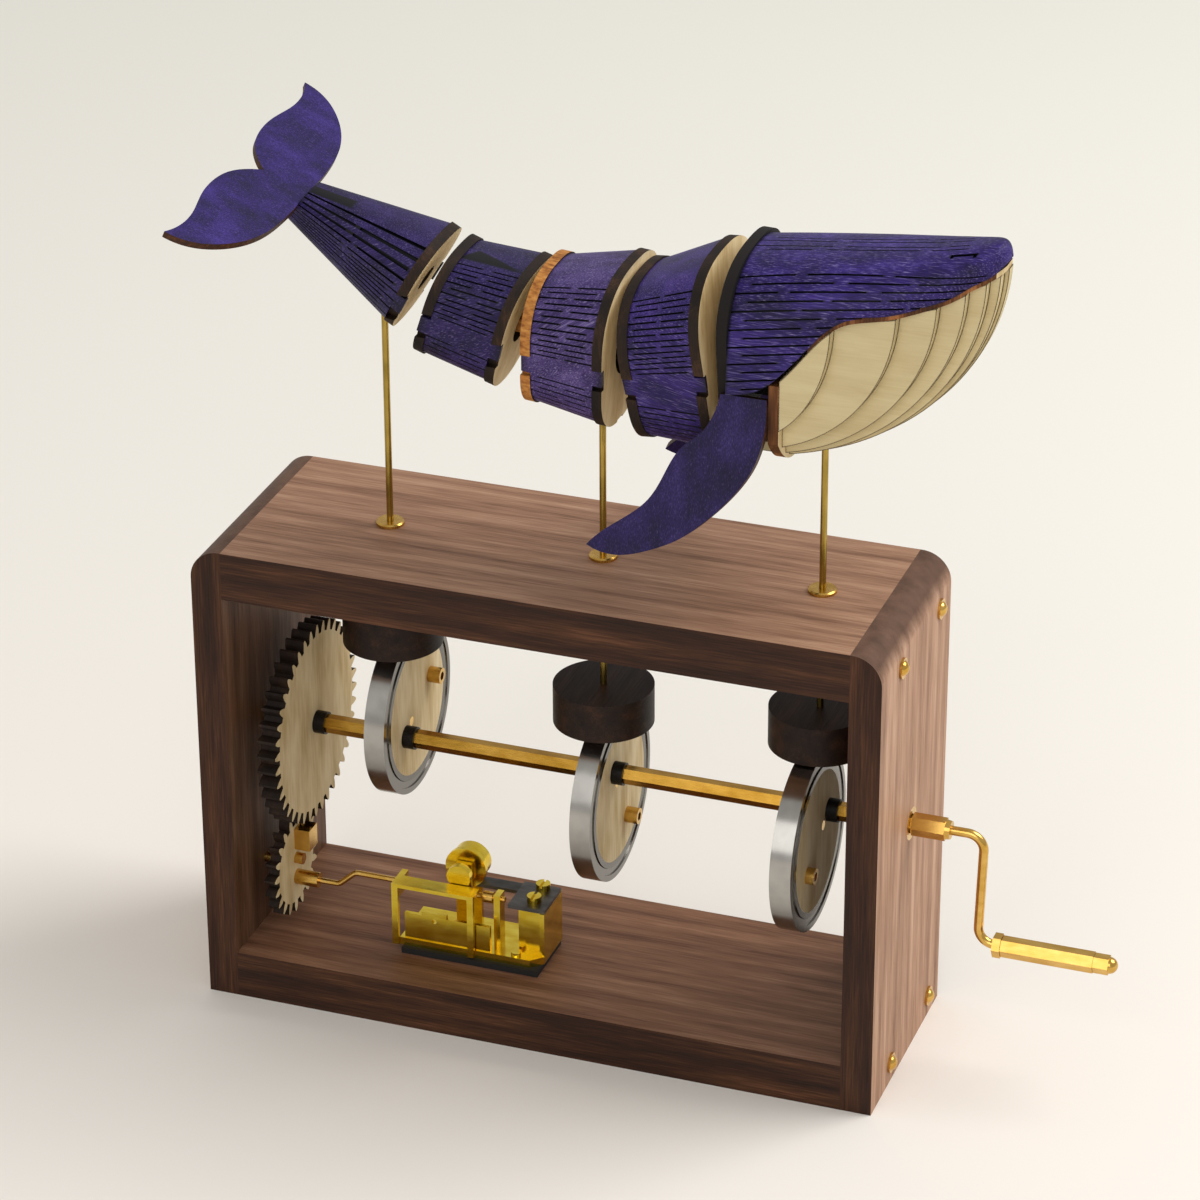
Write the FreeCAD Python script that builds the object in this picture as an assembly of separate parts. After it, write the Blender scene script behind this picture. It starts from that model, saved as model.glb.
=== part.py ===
"""Hand-cranked wooden automaton: a segmented whale swims above a walnut frame.

A crank turns a hexagonal camshaft.  Three bearings run on eccentric plywood cores
and lift three round followers, whose brass push rods carry the head, the middle and
the tail of the whale.  A gear pair takes the same turn to a small music movement.
Millimetres.  The origin lies under the middle of the frame, on its base.
+X points to the crank and the whale's nose, +Y to the back, +Z up.
"""
import FreeCAD
import Part
import math
import os
from FreeCAD import Vector

# ---- frame -------------------------------------------------------------------
frame_width = 210.0
frame_depth = 70.0
side_thickness = 9.5
deck_thickness = 15.0
corner_radius = 9.0

# ---- camshaft and cams -------------------------------------------------------
hex_flats = 5.0
bush_radius = 5.0
running_clearance = 0.05
middle_station = 10.2
station_pitch = 66.4
cam_throw = 11.1
cam_width = 6.4
bearing_radius = 27.0
race_thickness = 1.8
race_gap = 2.2
ball_count = 30
shield_thickness = 0.35
cam_angles = {"tail": 29.0, "middle": -61.0, "head": -151.0}
dowel_radius = 1.6
clamp_screw_reach = 12.0
clamp_head_radius = 2.5
clamp_head_height = 4.0
clamp_low_head_height = 2.6
collar_radius = 3.5
collar_length = 3.5

# ---- followers and push rods -------------------------------------------------
follower_radius = 15.0
follower_height = 12.0
follower_gap = 0.15
follower_headroom = 5.55
rod_radius = 1.0
bushing_wall = 1.0
bushing_flange = 4.2
bushing_flange_height = 1.2

# ---- crank -------------------------------------------------------------------
hub_flats = 6.0
hub_length = 11.6
hub_stand_off = 0.4
crank_rod_radius = 1.4
crank_reach = 22.0
crank_radius = 35.8
crank_bend = 5.0
crank_lean = 1.0
sleeve_flats = 5.6
sleeve_length = 27.6
crank_collar_flats = 6.4
crank_collar_length = 2.4
end_nut_flats = 5.2
end_nut_length = 4.5

# ---- gears and music movement ------------------------------------------------
gear_module = 1.5
drive_teeth = 40
pinion_teeth = 20
drive_gear_x = (-88.0, -82.0)
pinion_x = (-89.0, -85.5)
pinion_y = -11.0
pinion_floor_gap = 3.962
mesh_clearance = 0.1
tooth_backlash = 0.35
axle_radius = 1.5
wire_radius = 0.9
wire_offset = 5.0
wire_run = (14.0, 19.5)
movement_x = (-49.5, -4.2)
movement_y = (-17.0, 2.2)
pad_thickness = 2.0
bed_thickness = 2.5
drum_x = -32.1
drum_wheel_radius = 6.5
drum_wheel_width = 1.6
drum_radius = 5.9
drum_y = (-6.0, 0.4)
drum_axle_radius = 1.2
worm_radius = 1.6
worm_wheel_radius = 3.8
comb_teeth = 12
comb_drop = 5.762
comb_thickness = 1.2
comb_plate_x = -16.0
comb_plate_y = (-13.0, 1.6)
comb_screw_y = (-8.4, -0.6)
front_plate_height = 8.7
bridge_thickness = 1.2
bridge_leg_width = 2.0
bridge_leg_x = -26.2
end_bearing_x = -19.5

# ---- whale: its heights are given above the frame's top -----------------------
ply = 3.0
skin = 1.5
skin_reveal = 0.5
ball_radius = 2.9
socket_radius = 4.0
spine_ball_radius = 4.0
ball_clearance = 0.1
rib_clearance = 0.3
rib_height = 12.0
tongue_height = 4.0
pivot_rise = {"tail": 82.0, "middle": 70.0, "head": 76.0}
# outer faces of the bulkheads: x, rise of the middle, lean towards the nose, size,
# and how much taller than the plain outline the upper and the lower half are
bulkhead_places = {
    "tail_tip": (-80.5, 99.0, 38.0, 7.0, 1.0, 1.0),
    "tail_front": (-43.1, 80.2, 29.8, 16.0, 1.05, 1.0),
    "rear_back": (-38.1, 76.8, 20.7, 17.6, 1.0, 1.0),
    "rear_front": (-13.6, 71.0, 17.9, 19.2, 1.03, 1.0),
    "middle_back": (-7.7, 70.3, 5.6, 20.4, 1.08, 1.0),
    "middle_front": (17.9, 70.0, 5.7, 24.1, 1.05, 1.0),
    "neck_back": (23.7, 69.2, -5.0, 24.6, 1.0, 1.0),
    "neck_front": (47.8, 77.0, -3.7, 26.0, 1.0, 1.27),
    "head_back": (52.2, 80.0, 2.0, 26.6, 1.0, 1.0),
}
# the radius of the round window in each bulkhead
windows = {"tail_front": 4.0, "rear_back": 4.5, "rear_front": 6.5, "middle_back": 6.5,
           "middle_front": 10.1, "neck_back": 10.3, "neck_front": 10.9, "head_back": 11.2}
tab_height = 6.3
# how far below its middle each bulkhead is notched for the tabs of its skin
tab_drops = {"tail_front": 1.6, "rear_back": 1.7, "rear_front": 1.5, "middle_back": 1.7,
             "middle_front": 1.5, "neck_back": 1.5, "neck_front": 4.8}
rod_slot_width = 4.4
# where the body turns on the spine, ahead of and behind the middle segment
spine_places = {"neck": (35.7, 70.2), "rear": (-25.9, 76.4)}
# how far each push rod swings in its belly, in degrees: towards the tail, towards the nose
rod_swings = {"tail": (36.0, 2.0), "middle": (17.0, 7.0), "head": (11.0, 21.5)}

# head: the plan is half an ellipse from the back to the nose
head_start = 58.0
head_length = 70.5
head_half_width = 24.5
nose_crown_rise = 113.2
nose_lift = 3.0
nose_droop = 5.0
nose_side_rise = 106.0
mouth_points = [(50.0, 67.5), (67.3, 73.3), (75.0, 81.8), (82.6, 90.9), (87.1, 94.2),
                (93.9, 95.9), (100.9, 97.1), (109.1, 99.7), (115.4, 102.0),
                (120.7, 105.2), (125.1, 107.2), (131.0, 112.8)]
jaw_pitch = 3.5
jaw_side_plates = 6
jaw_floor_height = 45.0
jaw_floor_rise = 10.0
jaw_back = (66.8, 69.8)
keel_length = 12.0
keel_half_width = 7.0
mouth_plate_thickness = 1.5
mouth_plate_setback = 8.0
fin_splay = 15.0
fin_top_rise = 62.0
fin_inset = 23.2
fluke_root = (-84.0, 102.0)
fluke_thickness = 2.0
fluke_tongue = 12.0
fluke_pitch = 24.5
fluke_roll = 3.9
fluke_yaw = 1.9

# ---- fasteners ---------------------------------------------------------------
screw_radius = 1.5
screw_length = 26.0
screw_flange_radius = 3.1
screw_flange_height = 0.7
screw_head_radius = 2.3
screw_head_height = 1.4
top_screw_drop = 12.3
top_screw_y = (-15.0, 23.8)
bottom_screw_height = 6.6
bottom_screw_y = (-15.5, 23.8)

# ---- derived -----------------------------------------------------------------
half_width = frame_width / 2
inner_half_width = half_width - side_thickness
pinion_tip_radius = gear_module * (pinion_teeth / 2 + 1)
centre_distance = gear_module * (drive_teeth + pinion_teeth) / 2 + mesh_clearance
pinion_z = deck_thickness + pinion_floor_gap + pinion_tip_radius
shaft_height = pinion_z + math.sqrt(centre_distance ** 2 - pinion_y ** 2)
follower_top = shaft_height + cam_throw + bearing_radius + follower_gap + follower_height
deck_underside = follower_top + follower_headroom
frame_height = deck_underside + deck_thickness
screw_places = [(y, frame_height - top_screw_drop) for y in top_screw_y]
screw_places += [(y, bottom_screw_height) for y in bottom_screw_y]
hex_corner = hex_flats / math.sqrt(3)
stations = {"tail": middle_station - station_pitch, "middle": middle_station,
            "head": middle_station + station_pitch}
inner_race_radius = bearing_radius - 2 * race_thickness - race_gap
rod_hole_radius = rod_radius + running_clearance
drum_z = pinion_z + worm_radius + worm_wheel_radius + mesh_clearance
comb_top = drum_z - comb_drop
pivot_height = {name: frame_height + rise for name, rise in pivot_rise.items()}
bulkheads = {name: (place[0], frame_height + place[1], *place[2:])
             for name, place in bulkhead_places.items()}
spine_balls = {name: Vector(x, 0, frame_height + rise) for name, (x, rise) in spine_places.items()}
mouth_line = [(x, frame_height + rise) for x, rise in mouth_points]
nose_height = frame_height + nose_crown_rise
nose_side_height = frame_height + nose_side_rise
jaw_floor = frame_height + jaw_floor_height
fin_top = frame_height + fin_top_rise
X_AXIS = Vector(1, 0, 0)
Y_AXIS = Vector(0, 1, 0)


def save(node, *solids):
    """Write one node's solids to its own file."""
    shape = solids[0] if len(solids) == 1 else Part.makeCompound(list(solids))
    shape.exportStep("parts/" + node + ".step")


def box(x0, x1, y0, y1, z0, z1):
    return Part.makeBox(x1 - x0, y1 - y0, z1 - z0, Vector(x0, y0, z0))


def rod_x(x0, x1, y, z, radius):
    """A round bar along X."""
    return Part.makeCylinder(radius, x1 - x0, Vector(x0, y, z), X_AXIS)


def tube_x(x0, x1, y, z, outer, inner):
    return rod_x(x0, x1, y, z, outer).cut(rod_x(x0, x1, y, z, inner))


def hex_x(x0, x1, y, z, flats, turn=29.0):
    """A hexagonal bar along X; turn is the direction of one flat, in degrees from +Y."""
    corner = flats / math.sqrt(3)
    points = []
    for i in range(7):
        a = math.radians(turn + 30 + 60 * i)
        points.append(Vector(x0, y + corner * math.cos(a), z + corner * math.sin(a)))
    return Part.Face(Part.makePolygon(points)).extrude(Vector(x1 - x0, 0, 0))


def prism_y(points, y0, y1):
    """A flat outline of (x, z) points, thick from y0 to y1."""
    loop = [Vector(x, y0, z) for x, z in points]
    return Part.Face(Part.makePolygon(loop + [loop[0]])).extrude(Vector(0, y1 - y0, 0))


def spline(points):
    curve = Part.BSplineCurve()
    curve.interpolate(points)
    return curve.toShape()


def cam_centre(name, reach):
    """The point a distance from the shaft along a cam's throw, as (y, z)."""
    a = math.radians(cam_angles[name])
    return reach * math.cos(a), shaft_height + reach * math.sin(a)


def bent_rod(points, radius, bend):
    """A round rod along straight runs in an XZ plane, joined by tangent arcs."""
    edges = []
    start = points[0]
    for before, corner, after in zip(points, points[1:], points[2:]):
        towards = (corner - before).normalize()
        away = (after - corner).normalize()
        turn = towards.getAngle(away)
        cut = bend * math.tan(turn / 2)
        first = corner - towards * cut
        last = corner + away * cut
        bisector = (away - towards).normalize()
        middle = corner + bisector * (bend / math.cos(turn / 2) - bend)
        edges.append(Part.LineSegment(start, first).toShape())
        edges.append(Part.Arc(first, middle, last).toShape())
        start = last
    edges.append(Part.LineSegment(start, points[-1]).toShape())
    path = Part.Wire(edges)
    ring = Part.Wire(Part.Circle(points[0], (points[1] - points[0]).normalize(), radius).toShape())
    return path.makePipeShell([ring], True, False)


def involute(base, radius):
    """The polar angle of an involute of a base circle where it reaches a radius."""
    if radius <= base:
        return 0.0
    pressure = math.acos(base / radius)
    return math.tan(pressure) - pressure


def gear_blank(teeth, x0, x1, y, z, tooth_direction):
    """A spur gear with involute flanks; one tooth points in tooth_direction."""
    pitch = gear_module * teeth / 2
    base = pitch * math.cos(math.radians(20))
    root = pitch - 1.25 * gear_module
    tip = pitch + gear_module
    half = (math.pi * gear_module / 2 - tooth_backlash) / 2 / pitch
    radii = [root, max(base, root + 0.2), pitch, tip]
    points = []
    for i in range(teeth):
        middle = tooth_direction + 2 * math.pi * i / teeth
        spans = [half + involute(base, pitch) - involute(base, r) for r in radii]
        for r, span in zip(radii, spans):
            points.append((r, middle - span))
        for r, span in zip(reversed(radii), reversed(spans)):
            points.append((r, middle + span))
    loop = [Vector(x0, y + r * math.cos(a), z + r * math.sin(a)) for r, a in points]
    return Part.Face(Part.makePolygon(loop + [loop[0]])).extrude(Vector(x1 - x0, 0, 0))


# ---- frame -------------------------------------------------------------------
def screw_pilots(sign):
    """The shank holes of one side's four screws."""
    x0 = sign * (half_width - screw_length - 1)
    x1 = sign * (half_width + 1)
    return [rod_x(min(x0, x1), max(x0, x1), y, z, screw_radius) for y, z in screw_places]


def side_board(sign):
    outer = sign * half_width
    inner = sign * inner_half_width
    board = box(min(outer, inner), max(outer, inner), -frame_depth / 2, frame_depth / 2, 0, frame_height)
    top_edge = [e for e in board.Edges
                if abs(e.CenterOfMass.x - outer) < 0.01 and abs(e.CenterOfMass.z - frame_height) < 0.01]
    board = board.makeFillet(min(corner_radius, side_thickness - 0.1), top_edge)
    board = board.cut(rod_x(min(outer, inner) - 1, max(outer, inner) + 1, 0, shaft_height, bush_radius))
    for hole in screw_pilots(sign):
        board = board.cut(hole)
    if sign < 0:
        axle_hole = rod_x(outer + side_thickness / 2, inner + 1, pinion_y, pinion_z,
                          axle_radius + running_clearance)
        board = board.cut(axle_hole)
    return board


def deck(z0, z1):
    plank = box(-inner_half_width, inner_half_width, -frame_depth / 2, frame_depth / 2, z0, z1)
    for sign in (-1, 1):
        for hole in screw_pilots(sign):
            plank = plank.cut(hole)
    return plank


def top_board():
    plank = deck(deck_underside, frame_height)
    for x in stations.values():
        bore = Part.makeCylinder(rod_hole_radius + bushing_wall, deck_thickness + 2,
                                 Vector(x, 0, deck_underside - 1))
        plank = plank.cut(bore)
    return plank


def frame_screw(sign, y, z):
    """A flanged, round-headed wood screw through a side board into a deck's end grain."""
    tip = sign * (half_width - screw_length)
    face = sign * half_width
    shoulder = face + sign * screw_flange_height
    shank = rod_x(min(tip, face), max(tip, face), y, z, screw_radius)
    flange = rod_x(min(face, shoulder), max(face, shoulder), y, z, screw_flange_radius)
    ball_size = (screw_head_radius ** 2 + screw_head_height ** 2) / (2 * screw_head_height)
    middle = shoulder + sign * (screw_head_height - ball_size)
    dome = Part.makeSphere(ball_size, Vector(middle, y, z))
    far = shoulder + sign * 10
    outside = box(min(shoulder, far), max(shoulder, far), y - 9, y + 9, z - 9, z + 9)
    return shank.fuse([flange, dome.common(outside)]).removeSplitter()


def rod_bushing(x):
    """A flanged brass bushing that guides a push rod through the top board."""
    sleeve = Part.makeCylinder(rod_hole_radius + bushing_wall, deck_thickness, Vector(x, 0, deck_underside))
    flange = Part.makeCylinder(bushing_flange, bushing_flange_height, Vector(x, 0, frame_height))
    flange = flange.makeChamfer(bushing_flange_height / 3, [flange.Edges[0]])
    bore = Part.makeCylinder(rod_hole_radius, deck_thickness + 9, Vector(x, 0, deck_underside - 4))
    return sleeve.fuse(flange).cut(bore).removeSplitter()


def shaft_bush(sign):
    x0 = min(sign * half_width, sign * inner_half_width)
    return tube_x(x0, x0 + side_thickness, 0, shaft_height, bush_radius, hex_corner + running_clearance)


# ---- camshaft ----------------------------------------------------------------
def camshaft_bar():
    """The brass hexagonal bar, from the left board's outer face to the crank hub."""
    return hex_x(-half_width + 1, half_width + hub_stand_off, 0, shaft_height, hex_flats)


def shaft_collars():
    """Black collars that clamp the gear and the cams on the bar."""
    faces = [drive_gear_x[1]] + [x + cam_width / 2 for x in stations.values()]
    hole = hex_flats + 2 * running_clearance
    collars = []
    for x in faces:
        collar = rod_x(x, x + collar_length, 0, shaft_height, collar_radius)
        collars.append(collar.cut(hex_x(x - 1, x + collar_length + 1, 0, shaft_height, hole)))
    return collars


def drive_gear():
    towards = math.atan2(pinion_z - shaft_height, pinion_y)
    gear = gear_blank(drive_teeth, drive_gear_x[0], drive_gear_x[1], 0, shaft_height, towards)
    return gear.cut(hex_x(drive_gear_x[0] - 1, drive_gear_x[1] + 1, 0, shaft_height, hex_flats))


def cam_core(name):
    """The plywood disc of a cam, bored off centre for the hexagonal bar."""
    x0 = stations[name] - cam_width / 2
    x1 = stations[name] + cam_width / 2
    y, z = cam_centre(name, cam_throw)
    core = rod_x(x0, x1, y, z, inner_race_radius)
    core = core.cut(hex_x(x0 - 1, x1 + 1, 0, shaft_height, hex_flats))
    y, z = cam_centre(name, cam_throw / 2)
    core = core.cut(rod_x(x0 - 1, x1 + 1, y, z, dowel_radius + running_clearance))
    y, z = cam_centre(name, cam_throw + clamp_screw_reach)
    return core.cut(rod_x(x0 - 1, x1 + 1, y, z, screw_radius))


def cam_dowel(name):
    """The round brass dowel half way between the shaft and the cam's centre."""
    y, z = cam_centre(name, cam_throw / 2)
    return rod_x(stations[name] - cam_width / 2, stations[name] + cam_width / 2, y, z, dowel_radius)


def cam_clamp_screw(name):
    """A brass cap screw in a cam, on the side away from the shaft."""
    y, z = cam_centre(name, cam_throw + clamp_screw_reach)
    x0 = stations[name] - cam_width / 2
    x1 = stations[name] + cam_width / 2
    head = clamp_head_height if name != "head" else clamp_low_head_height
    socket = head / 2
    screw = rod_x(x0, x1, y, z, screw_radius).fuse(rod_x(x1, x1 + head, y, z, clamp_head_radius))
    key = hex_x(x1 + head - socket, x1 + head + 1, y, z, clamp_head_radius)
    return screw.cut(key).removeSplitter()


def inner_race(name):
    y, z = cam_centre(name, cam_throw)
    x0 = stations[name] - cam_width / 2
    return tube_x(x0, x0 + cam_width, y, z, inner_race_radius + race_thickness, inner_race_radius)


def outer_race(name):
    """The steel outer ring of a cam's bearing, with the shield on each of its faces."""
    y, z = cam_centre(name, cam_throw)
    x0 = stations[name] - cam_width / 2
    gap_outer = bearing_radius - race_thickness
    gap_inner = inner_race_radius + race_thickness
    solids = [tube_x(x0, x0 + cam_width, y, z, bearing_radius, gap_outer)]
    for x in (x0 + shield_thickness, x0 + cam_width - 2 * shield_thickness):
        solids.append(tube_x(x, x + shield_thickness, y, z, gap_outer, gap_inner + 2 * running_clearance))
    return solids


def bearing_balls(name):
    y, z = cam_centre(name, cam_throw)
    path = bearing_radius - race_thickness - race_gap / 2
    balls = []
    for i in range(ball_count):
        a = 2 * math.pi * i / ball_count
        place = Vector(stations[name], y + path * math.cos(a), z + path * math.sin(a))
        balls.append(Part.makeSphere(race_gap / 2 - running_clearance, place))
    return balls


# ---- crank -------------------------------------------------------------------
def crank_hub():
    x0 = half_width + hub_stand_off
    hub = hex_x(x0, x0 + hub_length, 0, shaft_height, hub_flats)
    cone = Part.makeCone(hub_flats * 0.8, hub_flats * 0.45, hub_length,
                         Vector(x0, 0, shaft_height), X_AXIS)
    return hub.common(cone.fuse(rod_x(x0, x0 + hub_length - 1.5, 0, shaft_height, hub_flats)))


handle_z = shaft_height - crank_radius
crank_end_x = half_width + hub_stand_off + hub_length
sleeve_x = half_width + crank_reach - crank_lean + crank_bend + crank_collar_length + running_clearance


def crank_arm():
    """The bent brass rod from the hub down to the handle and on through its sleeve."""
    arm_x = half_width + crank_reach
    route = [Vector(crank_end_x, 0, shaft_height), Vector(arm_x, 0, shaft_height),
             Vector(arm_x - crank_lean, 0, handle_z), Vector(sleeve_x + sleeve_length + 2.0, 0, handle_z)]
    return bent_rod(route, crank_rod_radius, crank_bend)


def handle_sleeve():
    """The hexagonal brass grip that spins on the rod."""
    grip = hex_x(sleeve_x, sleeve_x + sleeve_length, 0, handle_z, sleeve_flats)
    bore = rod_x(sleeve_x - 1, sleeve_x + sleeve_length + 1, 0, handle_z,
                 crank_rod_radius + running_clearance)
    return grip.cut(bore)


def handle_nuts():
    """The collar before the grip and the domed nut that closes the rod behind it."""
    x0 = sleeve_x - crank_collar_length - running_clearance
    collar = hex_x(x0, x0 + crank_collar_length, 0, handle_z, crank_collar_flats)
    collar = collar.cut(rod_x(x0 - 1, sleeve_x, 0, handle_z, crank_rod_radius))
    x1 = sleeve_x + sleeve_length + running_clearance
    x2 = x1 + end_nut_length
    nut = hex_x(x1, x2, 0, handle_z, end_nut_flats)
    dome = Part.makeSphere(0.48 * end_nut_flats, Vector(x2, 0, handle_z))
    nut = nut.fuse(dome.common(box(x2, x2 + 20, -9, 9, handle_z - 9, handle_z + 9)))
    hole = rod_x(x1 - 1, sleeve_x + sleeve_length + 2.0, 0, handle_z, crank_rod_radius)
    return [collar, nut.cut(hole).removeSplitter()]


# ---- followers and push rods -------------------------------------------------
def follower_base(name):
    return cam_centre(name, cam_throw)[1] + bearing_radius + follower_gap


def follower(name):
    z0 = follower_base(name)
    disc = Part.makeCylinder(follower_radius, follower_height, Vector(stations[name], 0, z0))
    socket = Vector(stations[name], 0, z0 + follower_height / 3)
    return disc.cut(Part.makeCylinder(rod_radius, follower_height, socket))


def push_rod(name):
    """The rod from its follower up into the whale, close under the ball joint."""
    z0 = follower_base(name) + follower_height / 3
    z1 = pivot_height[name] - socket_radius - ball_clearance
    return Part.makeCylinder(rod_radius, z1 - z0, Vector(stations[name], 0, z0))


def pivot(name):
    return Vector(stations[name], 0, pivot_height[name])


def rod_ball(name):
    return Part.makeSphere(ball_radius, pivot(name))


def ball_socket(name):
    """The round shell of the ball joint; the body of the whale turns about it."""
    shell = Part.makeSphere(socket_radius, pivot(name))
    return shell.cut(Part.makeSphere(ball_radius + running_clearance, pivot(name)))


# ---- music movement ----------------------------------------------------------
def pinion_gear():
    towards = math.atan2(shaft_height - pinion_z, -pinion_y) + math.pi / pinion_teeth
    return gear_blank(pinion_teeth, pinion_x[0], pinion_x[1], pinion_y, pinion_z, towards)


def pinion_coupling():
    """The pinion's stub axle, its wooden driver block with a screw, and the wire's sleeve."""
    x0 = pinion_x[1]
    stub = rod_x(-half_width + side_thickness / 2 + 0.5, pinion_x[0], pinion_y, pinion_z, axle_radius)
    block = box(x0, x0 + 5.0, pinion_y - 1.0, pinion_y + 5.0, pinion_z + 5.0, pinion_z + 12.0)
    screw = rod_x(x0, x0 + 2.5, pinion_y, pinion_z + 1.6, 1.8)
    sleeve = rod_x(x0, x0 + 7.5, pinion_y, pinion_z - wire_offset, 2.4)
    sleeve = sleeve.cut(rod_x(x0, x0 + 9, pinion_y, pinion_z - wire_offset, wire_radius))
    return [stub, block, screw, sleeve]


worm_x = (drum_x - 4.5, drum_x + 4.5)


def crank_wire():
    """The movement's own crank: a wire bent back to the worm's axis, with worm and end collar."""
    axis_z = pinion_z
    low_end, bend_end = [pinion_x[1] + run for run in wire_run]
    route = [Vector(pinion_x[1], pinion_y, axis_z - wire_offset),
             Vector(low_end, pinion_y, axis_z - wire_offset),
             Vector(bend_end, pinion_y, axis_z),
             Vector(worm_x[0], pinion_y, axis_z)]
    worm = rod_x(worm_x[0], worm_x[1], pinion_y, axis_z, worm_radius)
    end = rod_x(worm_x[1], end_bearing_x + bridge_leg_width, pinion_y, axis_z, wire_radius)
    collar = rod_x(bridge_leg_x + 2.0, bridge_leg_x + 5.0, pinion_y, axis_z, 2 * wire_radius)
    return [bent_rod(route, wire_radius, 2.5), worm.fuse([end, collar]).removeSplitter()]


bed_z = deck_thickness + pad_thickness
bed_top = bed_z + bed_thickness
comb_z = comb_top - comb_thickness


def movement_pad():
    x0, x1 = movement_x
    y0, y1 = movement_y
    return box(x0 + 1, x1 - 0.5, y0 - 1.5, y1, deck_thickness, bed_z)


def movement_bedplate():
    """The cast bed: a floor, the end wall and block under the comb, the drum's two cheeks."""
    x0, x1 = movement_x
    y0, y1 = movement_y
    floor = box(x0, x1, y0, y1, bed_z, bed_top)
    corner = Part.makeBox(6, 6, 9, Vector(x1 - 3.5, y0, bed_z - 1))
    corner.rotate(Vector(x1 - 3.5, y0, 0), Vector(0, 0, 1), -45)
    floor = floor.cut(corner)
    wall = box(x1 - 1.5, x1, y0 + 3.6, y1, bed_top, comb_z)
    block = box(x1 - 8.5, x1 - 1.5, y0 + 4.5, y1, bed_top, comb_z)
    half = 2 * drum_axle_radius
    back = box(drum_x - half, drum_x + half, drum_y[1] + rib_clearance, y1, bed_top, drum_z + half)
    front_face = drum_y[0] - rib_clearance
    front = box(drum_x - half, drum_x + half, front_face - 1.6, front_face, bed_top, drum_z + half)
    bed = floor.fuse([wall, block, back, front])
    axle = Part.makeCylinder(drum_axle_radius + running_clearance, frame_depth,
                             Vector(drum_x, -frame_depth / 2, drum_z), Y_AXIS)
    return bed.cut(axle).removeSplitter()


def movement_bridge():
    """The bent bridge over the worm shaft, the plate behind its legs and the end bearing."""
    x0 = movement_x[0]
    y0 = movement_y[0]
    half = bridge_leg_width / 2
    under = pinion_z + worm_radius + rib_clearance
    bar_back = pinion_y - worm_radius
    legs = (x0 - half, bridge_leg_x)
    top = under + bridge_thickness
    bar = box(legs[0] - half, legs[1] + half, y0 - bridge_thickness, bar_back, under, top)
    leg_solids = [box(x - half, x + half, y0 - bridge_thickness, y0, bed_z + 0.5, under) for x in legs]
    ear = box(legs[0] - half, legs[0] + half, y0, pinion_y + 2.0, pinion_z - 2.0, top)
    shaft_hole = rod_x(x0 - 9, end_bearing_x + 9, pinion_y, pinion_z, wire_radius + running_clearance)
    bridge = bar.fuse(leg_solids + [ear]).cut(shaft_hole).removeSplitter()
    plate_y = (y0 + 0.5, y0 + 0.5 + bridge_thickness)
    plate_top = bed_top + front_plate_height
    plate = box(x0 + 1.5, end_bearing_x - half, plate_y[0], plate_y[1], bed_top, plate_top)
    tab = box(x0 + 7, x0 + 15, plate_y[0], plate_y[1], plate_top, plate_top + 1.2)
    hole = Part.makeCylinder(0.8, 9, Vector(x0 + 11, y0 - 2, plate_top - 1.5), Y_AXIS)
    plate = plate.fuse(tab).removeSplitter().cut(hole)
    bearing_x = (end_bearing_x - half, end_bearing_x + half)
    bearing = box(bearing_x[0], bearing_x[1], pinion_y - 2.0, pinion_y + 2.0, bed_top, pinion_z + 2.0)
    return [bridge, plate, bearing.cut(shaft_hole)]


def movement_comb():
    """The steel comb: a wide plate with a row of teeth that reach under the drum."""
    x1 = movement_x[1]
    reach = math.sqrt((drum_radius + 0.5) ** 2 - (drum_z - comb_top) ** 2)
    teeth_y = (drum_y[0] + drum_wheel_width + 0.2, drum_y[1])
    comb = box(comb_plate_x, x1, comb_plate_y[0], comb_plate_y[1], comb_z, comb_top)
    comb = comb.fuse(box(drum_x + reach, comb_plate_x, teeth_y[0], teeth_y[1], comb_z, comb_top))
    pitch = (teeth_y[1] - teeth_y[0]) / comb_teeth
    for i in range(1, comb_teeth):
        y = teeth_y[0] + i * pitch
        comb = comb.cut(box(drum_x, comb_plate_x, y - 0.06, y + 0.06, comb_z - 1, comb_top + 1))
    for y in comb_screw_y:
        comb = comb.cut(Part.makeCylinder(1.2, 9, Vector(x1 - 5, y, comb_z - 4)))
    return comb.removeSplitter()


def movement_screws():
    """Two cheese-head screws on the comb and one at the bed's front corner."""
    screws = []
    x = movement_x[1] - 5.0
    for y in comb_screw_y:
        shank = Part.makeCylinder(1.2, comb_thickness, Vector(x, y, comb_z))
        head = Part.makeCylinder(2.2, 2.0, Vector(x, y, comb_top))
        slot = box(x - 0.4, x + 0.4, y - 3, y + 3, comb_top + 1.2, comb_top + 9)
        screws.append(shank.fuse(head).cut(slot).removeSplitter())
    corner = Vector(movement_x[1] - 8.5, movement_y[0] + 2.2, bed_top)
    screws.append(Part.makeCylinder(1.6, 1.0, corner))
    return screws


def pin_drum():
    """The brass drum with its end wheel, the worm wheel before it and their axle."""
    y0, y1 = drum_y
    end_wheel = Part.makeCylinder(drum_wheel_radius, drum_wheel_width, Vector(drum_x, y0, drum_z), Y_AXIS)
    drum = Part.makeCylinder(drum_radius, y1 - y0, Vector(drum_x, y0, drum_z), Y_AXIS)
    worm_wheel_y = pinion_y - 1.2
    worm_wheel = Part.makeCylinder(worm_wheel_radius, 2.4, Vector(drum_x, worm_wheel_y, drum_z), Y_AXIS)
    axle_end = movement_y[1] + 0.3
    axle = Part.makeCylinder(drum_axle_radius, axle_end - worm_wheel_y,
                             Vector(drum_x, worm_wheel_y, drum_z), Y_AXIS)
    return drum.fuse([end_wheel, worm_wheel, axle]).removeSplitter()


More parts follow.
